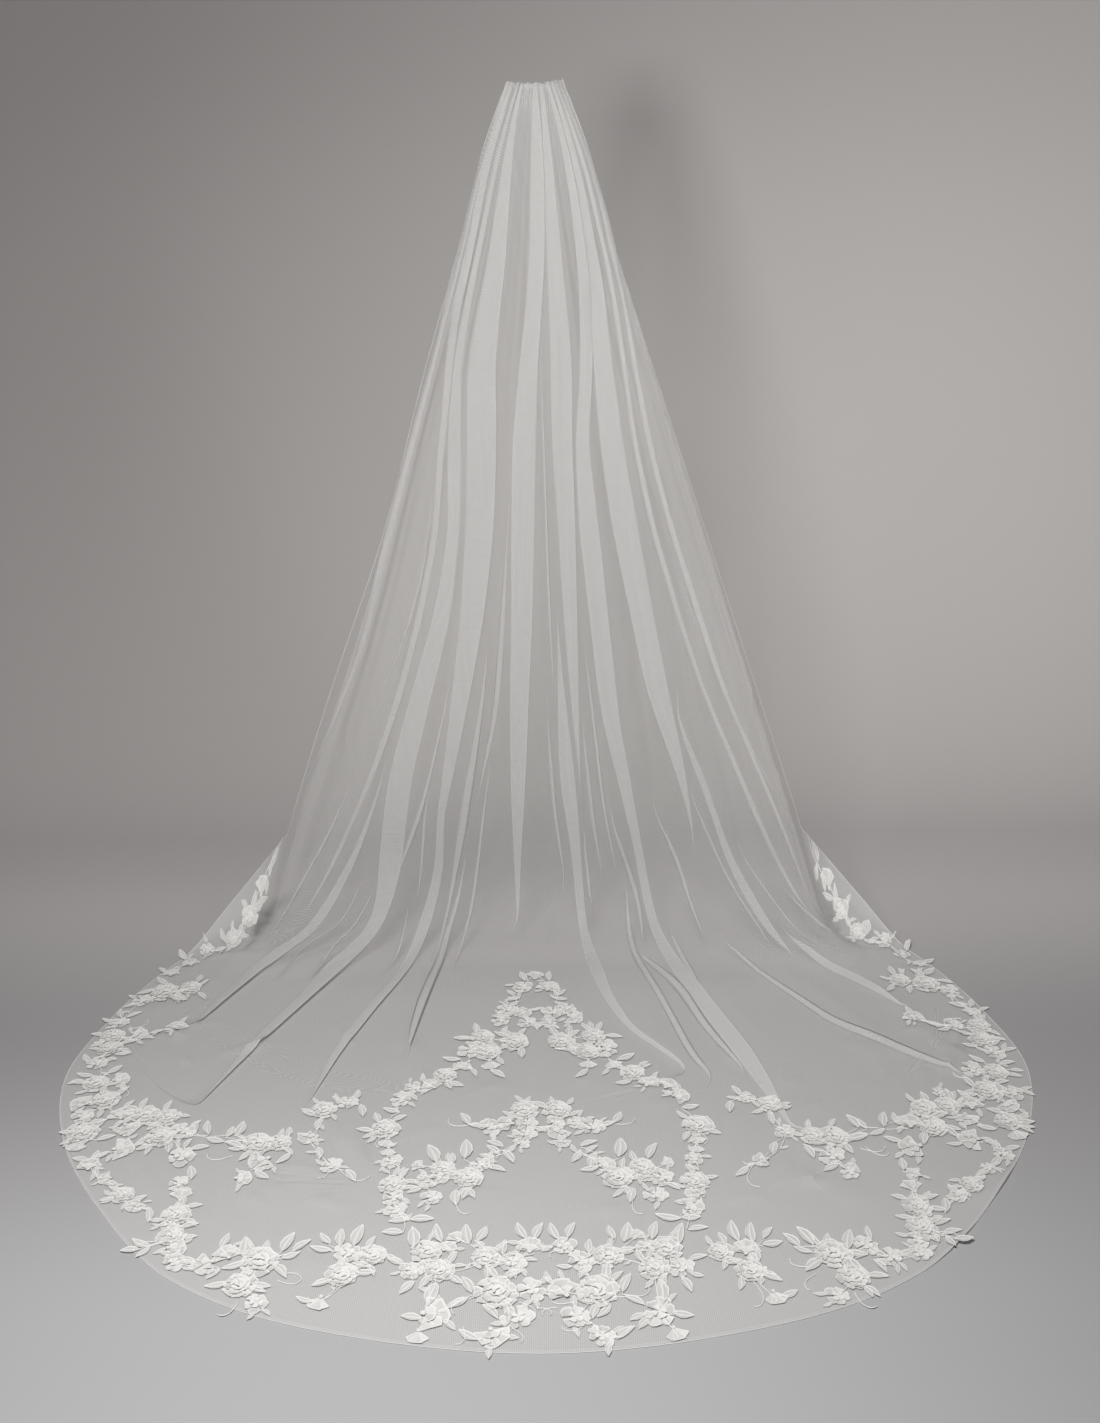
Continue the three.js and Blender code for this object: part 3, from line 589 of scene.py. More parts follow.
def netMaterial():
    material, tree = newMaterial("softBridalNet")
    cloth = add(tree, "ShaderNodeUVMap", uv_map="cloth").outputs["UV"]
    wave = 2 * math.pi / netLook["cell"]
    total = None
    for degrees in (0, 60, 120):
        direction = (wave * math.cos(math.radians(degrees)), wave * math.sin(math.radians(degrees)), 0)
        dot = add(tree, "ShaderNodeVectorMath", {0: cloth, 1: direction}, operation="DOT_PRODUCT")
        cosine = calculated(tree, "COSINE", dot.outputs["Value"])
        total = cosine if total is None else calculated(tree, "ADD", total, cosine)
    thread = mapped(tree, total, netLook["cellWaves"], (netOpacity["hole"], netOpacity["thread"]))
    along = attribute(tree, "down")
    place = add(tree, "ShaderNodeCombineXYZ", {"X": attribute(tree, "cloth"), "Y": along}).outputs[0]
    stretched = add(tree, "ShaderNodeVectorMath", {0: place, 1: netLook["streaks"]}, operation="MULTIPLY")
    noise = {"Vector": stretched.outputs[0], "Scale": 1.0, "Detail": 2.0}
    streak = add(tree, "ShaderNodeTexNoise", noise, noise_dimensions="2D").outputs["Fac"]
    pulled = mapped(tree, streak, netLook["streakRange"], netLook["streakDepth"])
    pull = calculated(tree, "MULTIPLY", pulled, mapped(tree, along, netLook["streakEnd"], (1.0, 0.0)))
    opacity = calculated(tree, "MULTIPLY", thread, calculated(tree, "ADD", pull, 1.0))
    for name in ("crease", "gather", "lying", "hem"):
        more = calculated(tree, "MULTIPLY", attribute(tree, name), netOpacity[name])
        opacity = calculated(tree, "ADD", opacity, more)
    colour = linear(netLook["colour"])
    matt = {"Roughness": netLook["roughness"], "Specular IOR Level": netLook["specular"]}
    cotton = {"Base Color": colour, "Sheen Weight": netLook["sheen"], **matt}
    lit = add(tree, "ShaderNodeBsdfPrincipled", cotton)
    through = add(tree, "ShaderNodeBsdfTranslucent", {"Color": colour})
    both = {0: netLook["through"], 1: lit.outputs[0], 2: through.outputs[0]}
    body = add(tree, "ShaderNodeMixShader", both)
    clear = add(tree, "ShaderNodeBsdfTransparent")
    mixed = add(tree, "ShaderNodeMixShader", {0: opacity, 1: clear.outputs[0], 2: body.outputs[0]})
    add(tree, "ShaderNodeOutputMaterial", {"Surface": mixed.outputs[0]})
    return material


# The source object's mesh after the node tree, with its inputs set by name, as a plain mesh.
def applied(source, tree, values):
    modifier = source.modifiers.new("nodes", "NODES")
    modifier.node_group = tree
    for item in tree.interface.items_tree:
        if item.in_out == "INPUT" and item.name in values:
            modifier[item.identifier] = values[item.name]
    graph = bpy.context.evaluated_depsgraph_get()
    ready = source.evaluated_get(graph)
    mesh = bpy.data.meshes.new_from_object(ready, preserve_all_data_layers=True, depsgraph=graph)
    bpy.data.objects.remove(source)
    return mesh


# A geometry node tree with its named inputs, given as name and socket kind.
def newTree(name, inputs):
    tree = bpy.data.node_groups.new(name, "GeometryNodeTree")
    tree.interface.new_socket("Geometry", in_out="INPUT", socket_type="NodeSocketGeometry")
    for label, kind in inputs.items():
        tree.interface.new_socket(label, in_out="INPUT", socket_type="NodeSocket" + kind)
    tree.interface.new_socket("Geometry", in_out="OUTPUT", socket_type="NodeSocketGeometry")
    return tree, add(tree, "NodeGroupInput").outputs


# Ends a tree: real geometry, then its material.
def finishTree(tree, geometry, material):
    real = add(tree, "GeometryNodeRealizeInstances", {"Geometry": geometry})
    done = add(tree, "GeometryNodeSetMaterial", {"Geometry": real.outputs[0], "Material": material})
    add(tree, "NodeGroupOutput", {"Geometry": done.outputs[0]})
    return tree


# A round cord along the given edges.
def cordOn(tree, edges, radius, sides, step, capped=False):
    curve = add(tree, "GeometryNodeMeshToCurve", {"Mesh": edges})
    even = add(tree, "GeometryNodeResampleCurve", {"Curve": curve.outputs[0], "Length": step}, mode="LENGTH")
    circle = add(tree, "GeometryNodeCurvePrimitiveCircle", {"Resolution": sides, "Radius": radius})
    swept = {"Curve": even.outputs[0], "Profile Curve": circle.outputs["Curve"], "Fill Caps": capped}
    return add(tree, "GeometryNodeCurveToMesh", swept).outputs[0]


def joined(tree, *parts):
    both = add(tree, "GeometryNodeJoinGeometry")
    for part in parts:
        tree.links.new(part, both.inputs[0])
    return both.outputs[0]


def cordTree(name, material):
    tree, given = newTree(name, {"Radius": "Float", "Sides": "Int", "Step": "Float"})
    cord = cordOn(tree, given["Geometry"], given["Radius"], given["Sides"], given["Step"], capped=True)
    return finishTree(tree, cord, material)


threadLook = {"colour": "#f4f2ef", "roughness": 0.55, "sheen": 0.2, "twist": 900.0, "relief": (0.5, 0.0001)}


def threadMaterial():
    material, tree = newMaterial("whiteSewingThread")
    waves = {"Vector": objectPlace(tree), "Scale": threadLook["twist"], "Distortion": 2.0}
    twist = add(tree, "ShaderNodeTexWave", waves, bands_direction="DIAGONAL").outputs["Fac"]
    look = {"Roughness": threadLook["roughness"], "Sheen Weight": threadLook["sheen"]}
    relief = bump(tree, twist, *threadLook["relief"])
    finishMaterial(tree, {"Base Color": linear(threadLook["colour"]), **look, "Normal": relief})
    return material


# Clear moulded plastic: glossy, milky at its thick bar, with faint flow marks.
combLook = {
    "colour": "#f1f2f2",
    "ior": 1.49,
    "clear": 0.55,
    "flow": 160.0,
    "gloss": (0.12, 0.3),
    "relief": (0.15, 0.0004),
}


def combMaterial():
    material, tree = newMaterial("clearMouldedPlastic")
    marks = {"Vector": objectPlace(tree), "Scale": combLook["flow"], "Detail": 3.0}
    flow = add(tree, "ShaderNodeTexNoise", marks).outputs["Fac"]
    look = {"IOR": combLook["ior"], "Transmission Weight": combLook["clear"]}
    gloss = mapped(tree, flow, wanted=combLook["gloss"])
    milky = {"Base Color": linear(combLook["colour"]), "Roughness": gloss, **look}
    finishMaterial(tree, {**milky, "Normal": bump(tree, flow, *combLook["relief"])})
    return material


def polyline(name, points):
    return meshObject(name, points, [], [(k, k + 1) for k in range(len(points) - 1)])


# A finished piece of the veil, which stands for the named nodes of the model.
def added(name, mesh, slot, *nodes):
    piece = bpy.data.objects.new(name, mesh)
    bpy.context.scene.collection.objects.link(piece)
    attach(piece, "root")
    if nodes:
        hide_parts(*nodes)
    return piece


# The net's cut edge, down one side, round the train and up the other.
def hemPath(net):
    rows = len(downRows)
    places = np.empty(len(net.data.vertices) * 3)
    net.data.vertices.foreach_get("co", places)
    grid = places.reshape(rows, -1, 3)
    return np.concatenate([grid[:, 0], grid[-1, 1:-1], grid[::-1, -1]])


# The comb's bar runs along X behind the gather; its teeth point down.
combLow, combHigh = (Vector(corner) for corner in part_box("veil_comb"))
combBar = {
    "height": 0.009,
    "sides": 16,
    "roundFrom": 0.964,  # the bar's ends are round from this share of its half length
    "teeth": 22,
    "toothWidth": 0.0021,
    "toothTip": 0.0009,
    "endSquash": 0.75,  # how much thinner and narrower the bar's ends become
    "endDepth": 0.35,
    "toothSides": 8,
    "toothRings": [(0, 1.0), (0.25, 0.98), (0.5, 0.9), (0.72, 0.76), (0.88, 0.58), (0.97, 0.34), (1, 0.08)],
    "toothEnd": 0.95,
    "leastDepth": 0.15,
    "toothDepth": 0.62,  # share of the comb's depth
    "toothCurve": 0.0006,
    "toothInBar": 0.0006,
}


# Faces between rings of vertices that lie one after another.
def ringFaces(rings, sides):
    faces = []
    for r in range(rings - 1):
        for k in range(sides):
            a, b = r * sides + k, r * sides + (k + 1) % sides
            faces.append((a, a + sides, b + sides, b))
    return faces


# One tooth hanging from z 0, of unit length, tapered and curving a little towards the head.
def buildTooth():
    sides, depth = combBar["toothSides"], (combHigh.y - combLow.y) / 2 * combBar["toothDepth"]
    vertices = []
    rings = combBar["toothRings"]
    for t, share in rings:
        deep = depth * max(share, combBar["leastDepth"])
        tip = combBar["toothTip"] / 2 * (1 - share) * (t < combBar["toothEnd"])
        wide = combBar["toothWidth"] / 2 * share + tip
        curve = combBar["toothCurve"] * t * t
        for k in range(sides):
            angle = 2 * math.pi * (k + 0.5) / sides
            vertices.append((wide * math.cos(angle), deep * math.sin(angle) + curve, -t))
    end = tuple(len(vertices) - sides + k for k in range(sides))
    tooth = meshObject("tooth", vertices, ringFaces(len(rings), sides) + [end])
    tooth.data.shade_smooth()
    return tooth


# Adds a row of teeth below the bar, one at each of the points that run along it.
def combTree(material):
    inputs = {"Tooth": "Object", "Teeth": "Int", "Pitch": "Float", "Tooth Length": "Float", "Root": "Vector"}
    tree, given = newTree("combTeeth", inputs)
    row = {"Count": given["Teeth"], "Start Location": given["Root"]}
    line = add(tree, "GeometryNodeMeshLine", row, mode="OFFSET")
    along = add(tree, "ShaderNodeCombineXYZ", {"X": given["Pitch"]})
    tree.links.new(along.outputs[0], line.inputs["Offset"])
    shape = add(tree, "GeometryNodeObjectInfo", {"Object": given["Tooth"]}).outputs["Geometry"]
    size = add(tree, "ShaderNodeCombineXYZ", {"X": 1.0, "Y": 1.0, "Z": given["Tooth Length"]}).outputs[0]
    standing = {"Points": line.outputs[0], "Instance": shape, "Scale": size}
    teeth = add(tree, "GeometryNodeInstanceOnPoints", standing).outputs[0]
    return finishTree(tree, joined(tree, teeth, given["Geometry"]), material)


# The comb's bar: a rounded flat strip with closed round ends.
def buildBar():
    low, high = combLow.copy(), combHigh.copy()
    low.z = high.z - combBar["height"]
    middle, half = (low + high) / 2, (high - low) / 2
    sides, start, thin = combBar["sides"], combBar["roundFrom"], combBar["endDepth"]
    vertices = []
    ends = [1 - 0.012 * k for k in range(4)]
    stations = [-s for s in ends] + [-0.95, 0, 0.95] + ends[::-1]
    for s in stations:
        inset = 1 - combBar["endSquash"] * max(0, (abs(s) - start) / (1 - start)) ** 2
        for k in range(sides):
            angle = 2 * math.pi * k / sides
            y = abs(math.cos(angle)) ** 0.5 * math.copysign(half.y, math.cos(angle))
            y *= thin + (1 - thin) * inset
            z = abs(math.sin(angle)) ** 0.4 * math.copysign(half.z, math.sin(angle)) * inset
            vertices.append((middle.x + s * half.x, middle.y + y, middle.z + z))
    near = tuple(range(sides))
    far = tuple(len(vertices) - 1 - k for k in range(sides))
    bar = meshObject("bar", vertices, ringFaces(len(stations), sides) + [near, far])
    bar.data.shade_smooth()
    return bar


net = buildNet()
net.data.materials.append(netMaterial())
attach(net, "root")
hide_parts("veil_tulle")

edgeCord = {"Radius": 0.0004, "Sides": 5, "Step": 0.008}
hemCord = cordTree("edgeCord", threadMaterial())
hem = added("hemEdge", applied(polyline("path", hemPath(net)), hemCord, edgeCord), "tulle")
print("net:", len(net.data.polygons), "faces, hem:", len(hem.data.polygons))

tooth = buildTooth()
reach = combHigh.x - combLow.x - combBar["toothWidth"] * 2
barMiddle = (combLow.y + combHigh.y) / 2
rootHeight = combHigh.z - combBar["height"] + combBar["toothInBar"]
combValues = {
    "Tooth": tooth,
    "Teeth": combBar["teeth"],
    "Pitch": reach / (combBar["teeth"] - 1),
    "Tooth Length": rootHeight - combLow.z,
    "Root": (combLow.x + combBar["toothWidth"], barMiddle, rootHeight),
}
comb = added("comb", applied(buildBar(), combTree(combMaterial()), combValues), "comb", "veil_comb")
bpy.data.objects.remove(tooth)
comb.data.shade_smooth()

# A sewing thread winds round the comb's bar and through the gathers, which holds the two together.
stitch = {
    "turns": 15,
    "stepsPerTurn": 14,
    "front": 0.0021,  # from the bar's middle, and how much further back it goes on the other side
    "further": 0.0009,
    "above": 0.0006,
    "cord": {"Radius": 0.0003, "Sides": 5, "Step": 0.0012},
}
windings = []
for k in range(stitch["turns"] * stitch["stepsPerTurn"] + 1):
    angle = 2 * math.pi * k / stitch["stepsPerTurn"]
    out = stitch["front"] + stitch["further"] * (math.cos(angle) < 0)
    x = -reach / 2 + reach * k / (stitch["turns"] * stitch["stepsPerTurn"])
    y = barMiddle + out * math.cos(angle)
    z = combHigh.z - combBar["height"] / 2 + (combBar["height"] / 2 + stitch["above"]) * math.sin(angle)
    windings.append((x, y, z))
sewn = applied(polyline("path", windings), hemCord, stitch["cord"])
stitches = added("combStitches", sewn, "tulle")
print("comb:", len(comb.data.polygons), "faces, stitches:", len(sewn.polygons))

# The lace of one half, in plan millimetres out from the pattern's middle line. size is a rose's, flower's or
# bud's radius, half a leaf's length or a tendril's whole length; heading is 0 outwards, 90 to the comb.
sprays = {
    "apex": [
        ("bud", 2, -366, 15, 90), ("leaf", 27, -372, 18, 80), ("flower", 27, -426, 21, 60),
        ("leaf", 46, -484, 14, 350), ("leaf", 50, -455, 12, 50), ("flower", 30, -548, 20, 120),
        ("flower", 56, -530, 19, 80), ("flower", 70, -578, 20, 330), ("flower", 20, -594, 17, 200),
        ("leaf", 4, -610, 14, 250), ("curl", 20, -604, 34, 190), ("leaf", 44, -505, 12, 150),
    ],
    "leg": [
        ("rose", 42, -682, 29, 110), ("leaf", 60, -634, 17, 95), ("leaf", 28, -640, 16, 105),
        ("rose", 102, -658, 26, 90), ("leaf", 116, -618, 15, 80), ("leaf", 140, -662, 16, 0),
        ("rose", 90, -728, 27, 200), ("flower", 124, -714, 25, 10), ("bud", 88, -780, 16, 260),
        ("leaf", 75, -818, 17, 230), ("leaf", 158, -752, 18, 20), ("bud", 133, -782, 15, 300),
        ("leaf", 118, -812, 13, 250), ("rose", 168, -820, 24, 30), ("leaf", 148, -858, 15, 200),
        ("flower", 192, -862, 18, 60), ("flower", 225, -870, 18, 60), ("flower", 244, -915, 21, 0),
        ("leaf", 206, -838, 13, 70), ("leaf", 222, -908, 13, 220), ("curl", 60, -700, 40, 215),
    ],
    "leg_foot": [
        ("leaf", 258, -958, 16, 20), ("rose", 266, -1030, 29, 0), ("leaf", 242, -990, 14, 140),
        ("bud", 260, -1082, 14, 280), ("bud", 256, -1114, 13, 270), ("flower", 248, -1148, 17, 20),
        ("leaf", 240, -1184, 13, 300), ("rose", 243, -1228, 25, 0), ("flower", 240, -1270, 18, 180),
        ("flower", 235, -1310, 19, 20), ("leaf", 192, -1342, 19, 170), ("leaf", 228, -1345, 15, 0),
        ("leaf", 236, -1382, 17, 0), ("leaf", 290, -1052, 14, 330), ("leaf", 216, -1240, 13, 160),
        ("curl", 262, -1050, 42, 320),
    ],
    "chevron": [
        ("rose", 29, -965, 27, 95), ("leaf", 22, -930, 13, 100), ("flower", 24, -1012, 17, 240),
        ("flower", 28, -1052, 20, 240), ("flower", 34, -1088, 15, 270), ("flower", 60, -1014, 20, 20),
        ("flower", 86, -1030, 21, 300), ("leaf", 112, -1022, 15, 20), ("leaf", 130, -996, 16, 60),
        ("leaf", 4, -1038, 13, 200), ("leaf", 56, -978, 13, 40), ("curl", 126, -1020, 44, 350),
    ],
    "chevron_leg": [
        ("leaf", 52, -1108, 12, 120), ("leaf", 78, -1092, 15, 30), ("leaf", 82, -1114, 15, 40),
        ("leaf", 56, -1136, 17, 250), ("leaf", 84, -1150, 20, 80), ("leaf", 76, -1180, 17, 200),
        ("flower", 104, -1165, 18, 20), ("rose", 120, -1212, 28, 230), ("rose", 162, -1178, 25, 60),
        ("leaf", 128, -1108, 24, 92), ("leaf", 182, -1122, 22, 75), ("bud", 204, -1162, 13, 20),
        ("flower", 192, -1214, 18, 340), ("flower", 165, -1205, 17, 200), ("flower", 178, -1272, 19, 300),
        ("leaf", 140, -1274, 17, 260), ("leaf", 118, -1262, 14, 230), ("leaf", 150, -1140, 15, 100),
        ("leaf", 206, -1244, 14, 320), ("curl", 140, -1290, 40, 260),
    ],
    "front": [
        ("flower", 26, -1428, 20, 100), ("leaf", 12, -1384, 19, 110), ("leaf", 38, -1382, 19, 65),
        ("flower", 52, -1476, 21, 250), ("rose", 92, -1462, 26, 110), ("leaf", 65, -1432, 16, 95),
        ("leaf", 122, -1390, 20, 80), ("leaf", 100, -1390, 16, 110), ("bud", 140, -1398, 13, 60),
        ("leaf", 90, -1506, 15, 270), ("leaf", 52, -1508, 14, 250), ("rose", 75, -1560, 34, 20),
        ("flower", 22, -1556, 23, 120), ("flower", 42, -1632, 25, 230), ("leaf", 82, -1616, 17, 240),
        ("flower", 78, -1684, 21, 250), ("leaf", 112, -1676, 17, 30), ("leaf", 118, -1540, 18, 60),
        ("rose", 160, -1498, 26, 200), ("rose", 182, -1440, 27, 70), ("leaf", 166, -1386, 20, 85),
        ("leaf", 206, -1398, 22, 88), ("leaf", 142, -1462, 15, 120), ("flower", 150, -1430, 15, 130),
        ("flower", 202, -1498, 21, 330), ("leaf", 206, -1546, 16, 300), ("leaf", 168, -1566, 22, 280),
        ("flower", 162, -1622, 26, 180), ("leaf", 196, -1628, 16, 0), ("bud", 184, -1680, 16, 280),
        ("leaf", 128, -1590, 16, 330), ("leaf", 140, -1650, 14, 230), ("leaf", 58, -1590, 15, 160),
        ("leaf", 228, -1470, 15, 20), ("curl", 110, -1570, 52, 340), ("curl", 40, -1590, 44, 200),
        ("curl", 14, -1606, 30, 180), ("curl", 120, -1655, 40, 250), ("curl", 50, -1660, 36, 210),
        ("curl", 28, -1440, 34, 180), ("leaf", 4, -1530, 12, 150),
    ],
    "border": [
        ("leaf", 316, -1396, 20, 85), ("leaf", 290, -1390, 22, 98), ("rose", 262, -1452, 23, 200),
        ("flower", 302, -1442, 21, 80), ("leaf", 312, -1472, 15, 300), ("rose", 304, -1508, 26, 200),
        ("bud", 334, -1586, 16, 280), ("leaf", 355, -1575, 14, 20), ("curl", 305, -1540, 60, 300),
        ("leaf", 344, -1428, 17, 20), ("leaf", 340, -1398, 14, 60), ("leaf", 396, -1408, 20, 110),
        ("leaf", 374, -1420, 18, 130), ("leaf", 388, -1448, 15, 150), ("rose", 432, -1462, 31, 100),
        ("leaf", 400, -1494, 20, 230), ("curl", 400, -1520, 44, 210), ("curl", 390, -1500, 36, 180),
        ("leaf", 462, -1420, 20, 80), ("leaf", 495, -1400, 15, 95), ("flower", 486, -1438, 19, 60),
        ("flower", 516, -1474, 21, 330), ("leaf", 542, -1462, 15, 30), ("rose", 456, -1532, 26, 0),
        ("leaf", 490, -1530, 16, 350), ("flower", 424, -1584, 19, 210), ("curl", 450, -1575, 46, 280),
        ("flower", 562, -1464, 19, 300), ("leaf", 278, -1480, 14, 200), ("leaf", 334, -1530, 15, 330),
        ("leaf", 498, -1500, 14, 300), ("leaf", 268, -1414, 15, 110), ("leaf", 430, -1424, 15, 90),
    ],
    "chain": [
        ("flower", 566, -1424, 19, 190), ("rose", 578, -1384, 23, 0), ("flower", 587, -1350, 17, 20),
        ("rose", 582, -1318, 26, 170), ("leaf", 584, -1284, 13, 100), ("bud", 584, -1252, 16, 90),
        ("flower", 594, -1214, 17, 170), ("leaf", 580, -1178, 16, 80), ("leaf", 622, -1404, 17, 20),
        ("leaf", 636, -1426, 15, 350), ("leaf", 615, -1432, 13, 300), ("leaf", 556, -1352, 14, 170),
        ("leaf", 558, -1290, 13, 160), ("curl", 600, -1400, 44, 0),
    ],
    "diagonal": [
        ("leaf", 626, -1318, 16, 250), ("flower", 652, -1288, 16, 300), ("rose", 678, -1250, 20, 170),
        ("leaf", 694, -1232, 13, 20), ("leaf", 706, -1208, 15, 200), ("flower", 717, -1195, 14, 0),
        ("leaf", 734, -1172, 15, 60), ("flower", 752, -1146, 18, 80), ("leaf", 770, -1128, 14, 20),
        ("leaf", 748, -1116, 14, 100), ("leaf", 650, -1262, 13, 140), ("curl", 640, -1300, 36, 30),
    ],
    "band": [
        ("rose", 784, -1030, 27, 350), ("leaf", 812, -1030, 15, 0), ("bud", 788, -1078, 16, 280),
        ("flower", 796, -970, 20, 290), ("rose", 770, -908, 30, 180), ("flower", 812, -918, 21, 20),
        ("leaf", 745, -872, 17, 120), ("flower", 730, -960, 22, 90), ("leaf", 725, -926, 15, 110),
        ("leaf", 700, -922, 16, 95), ("leaf", 655, -934, 17, 90), ("rose", 690, -966, 27, 85),
        ("rose", 650, -975, 26, 60), ("flower", 712, -1018, 19, 250), ("flower", 706, -1092, 24, 180),
        ("rose", 652, -1048, 27, 270), ("flower", 616, -1026, 21, 90), ("flower", 604, -1120, 25, 200),
        ("leaf", 595, -1014, 16, 95), ("leaf", 574, -1016, 19, 80), ("leaf", 556, -1062, 17, 200),
        ("leaf", 535, -1032, 15, 110), ("leaf", 520, -1022, 18, 110), ("leaf", 522, -1082, 19, 200),
        ("rose", 482, -1078, 28, 90), ("rose", 446, -1074, 23, 60), ("leaf", 445, -1044, 15, 95),
        ("flower", 470, -1146, 24, 330), ("flower", 492, -1200, 18, 180), ("leaf", 463, -1188, 15, 220),
        ("leaf", 434, -1130, 18, 300), ("curl", 520, -1120, 52, 330), ("leaf", 742, -1050, 16, 160),
        ("leaf", 768, -990, 15, 150), ("leaf", 682, -1066, 16, 300), ("leaf", 632, -1086, 16, 250),
        ("leaf", 578, -1090, 15, 160), ("leaf", 500, -1118, 16, 290), ("leaf", 806, -1060, 14, 320),
        ("leaf", 672, -1004, 15, 200), ("curl", 560, -1048, 46, 180), ("leaf", 740, -1110, 14, 340),
    ],
    "lobe": [
        ("flower", 402, -1056, 19, 280), ("leaf", 386, -1008, 17, 90), ("rose", 384, -954, 23, 60),
        ("flower", 346, -925, 19, 60), ("leaf", 332, -898, 15, 110), ("leaf", 318, -960, 16, 250),
        ("leaf", 378, -1116, 16, 250), ("flower", 352, -1160, 17, 200), ("leaf", 318, -1196, 17, 230),
        ("leaf", 408, -968, 14, 20), ("curl", 366, -1134, 60, 240), ("curl", 340, -1170, 70, 235),
    ],
    "edge": [
        ("rose", 800, -836, 25, 60), ("leaf", 826, -800, 16, 20), ("flower", 758, -822, 20, 170),
        ("flower", 814, -752, 20, 60), ("leaf", 836, -732, 15, 60), ("rose", 801, -694, 25, 190),
        ("rose", 806, -636, 26, 60), ("flower", 760, -630, 20, 200), ("flower", 694, -594, 18, 80),
        ("leaf", 685, -570, 14, 100), ("leaf", 724, -622, 16, 160), ("flower", 806, -572, 19, 60),
        ("leaf", 830, -560, 14, 30), ("leaf", 810, -530, 14, 80), ("leaf", 784, -538, 16, 150),
        ("flower", 782, -470, 21, 20), ("rose", 742, -432, 30, 90), ("rose", 694, -412, 24, 70),
        ("leaf", 668, -452, 17, 230), ("leaf", 685, -366, 16, 95), ("leaf", 756, -372, 18, 40),
        ("flower", 746, -332, 15, 80), ("leaf", 766, -318, 13, 40), ("flower", 716, -280, 18, 70),
        ("leaf", 736, -246, 14, 60), ("leaf", 772, -664, 16, 160), ("leaf", 828, -668, 14, 330),
        ("leaf", 776, -780, 15, 140), ("leaf", 838, -830, 13, 340), ("leaf", 780, -424, 15, 340),
        ("leaf", 706, -460, 15, 250), ("leaf", 740, -648, 14, 200), ("curl", 780, -600, 46, 170),
        ("curl", 758, -850, 44, 200), ("leaf", 774, -720, 14, 170),
    ],
    "corner": [
        ("flower", 690, -222, 16, 170), ("leaf", 664, -216, 13, 160), ("rose", 640, -186, 19, 180),
        ("leaf", 626, -160, 13, 100), ("flower", 612, -134, 17, 90), ("leaf", 606, -106, 12, 100),
        ("bud", 590, -84, 13, 100), ("leaf", 566, -48, 14, 110), ("leaf", 552, -26, 11, 110),
        ("leaf", 662, -178, 13, 60), ("leaf", 588, -112, 12, 170),
    ],
}
rightOnly = {
    "band": [("flower", 686, -912, 16, 80), ("curl", 529, -1114, 50, 300)],
    "edge": [("leaf", 821, -714, 15, 40), ("leaf", 843, -743, 14, 20)],
    "chain": [("leaf", 614, -1371, 16, 30)],
}
acrossMiddle = ("apex", "chevron", "front")
leaning = ("apex", "leg", "leg_foot", "chevron", "chevron_leg")
laceRules = {
    "lift": 0.0008,
    "stretch": 1.45,  # the motifs are drawn this much longer towards the hem than across
    "lean": -19,  # millimetres that the pattern's middle leans to the left, from a place and over a length
    "leanFrom": -1500,
    "leanOver": 1100,
    "swell": (0.93, 1.07),
    "turn": 0.2,
    "tucked": {"rose": 3, "flower": 2},  # small leaves tucked under a head, as shares of its size
    "tuckedLength": (0.42, 0.6),
    "tuckedTurn": 0.5,
    "tuckedOut": 0.4,
    "cordRadius": 0.0009,
    "cordSides": 5,
    "cordStep": 0.005,
    "longestCord": 0.12,
    "bow": 0.16,
    "bowSteps": 6,
    "sprigFrom": 0.014,  # cords from this length carry a small leaf
    "sprig": (0.007, 0.0105),
    "sprigTurn": (0.5, 1.1),
    "castFrom": 0.3,  # metres above the floor's plan from which the net is looked for, downwards and nearby
    "castLength": 0.35,
    "nearFrom": 0.1,
}


# A petal's rim is rounded, ruffled and notched. Its sides tilt, its outer part rises, and a cord runs
# round it.
petalShape = {
    "round": 0.2,
    "ruffle": 0.06,
    "ruffleCount": 4.6,
    "notch": 0.07,
    "notchSharpness": 14,
    "rootSpread": 0.6,
    "tilt": 0.02,
    "rise": 0.015,
    "cord": 0.025,
    "groove": 0.01,
}
leafShape = {
    "steps": (0, 0.17, 0.4, 0.65, 0.86, 1),
    "lanes": ((-1, 1), (-0.68, 0), (-0.16, 0.1), (0, 1), (0.16, 0.1), (0.68, 0), (1, 1)),  # and how corded
    "least": 0.03,
    "lift": 0.02,
    "cord": 0.05,
}


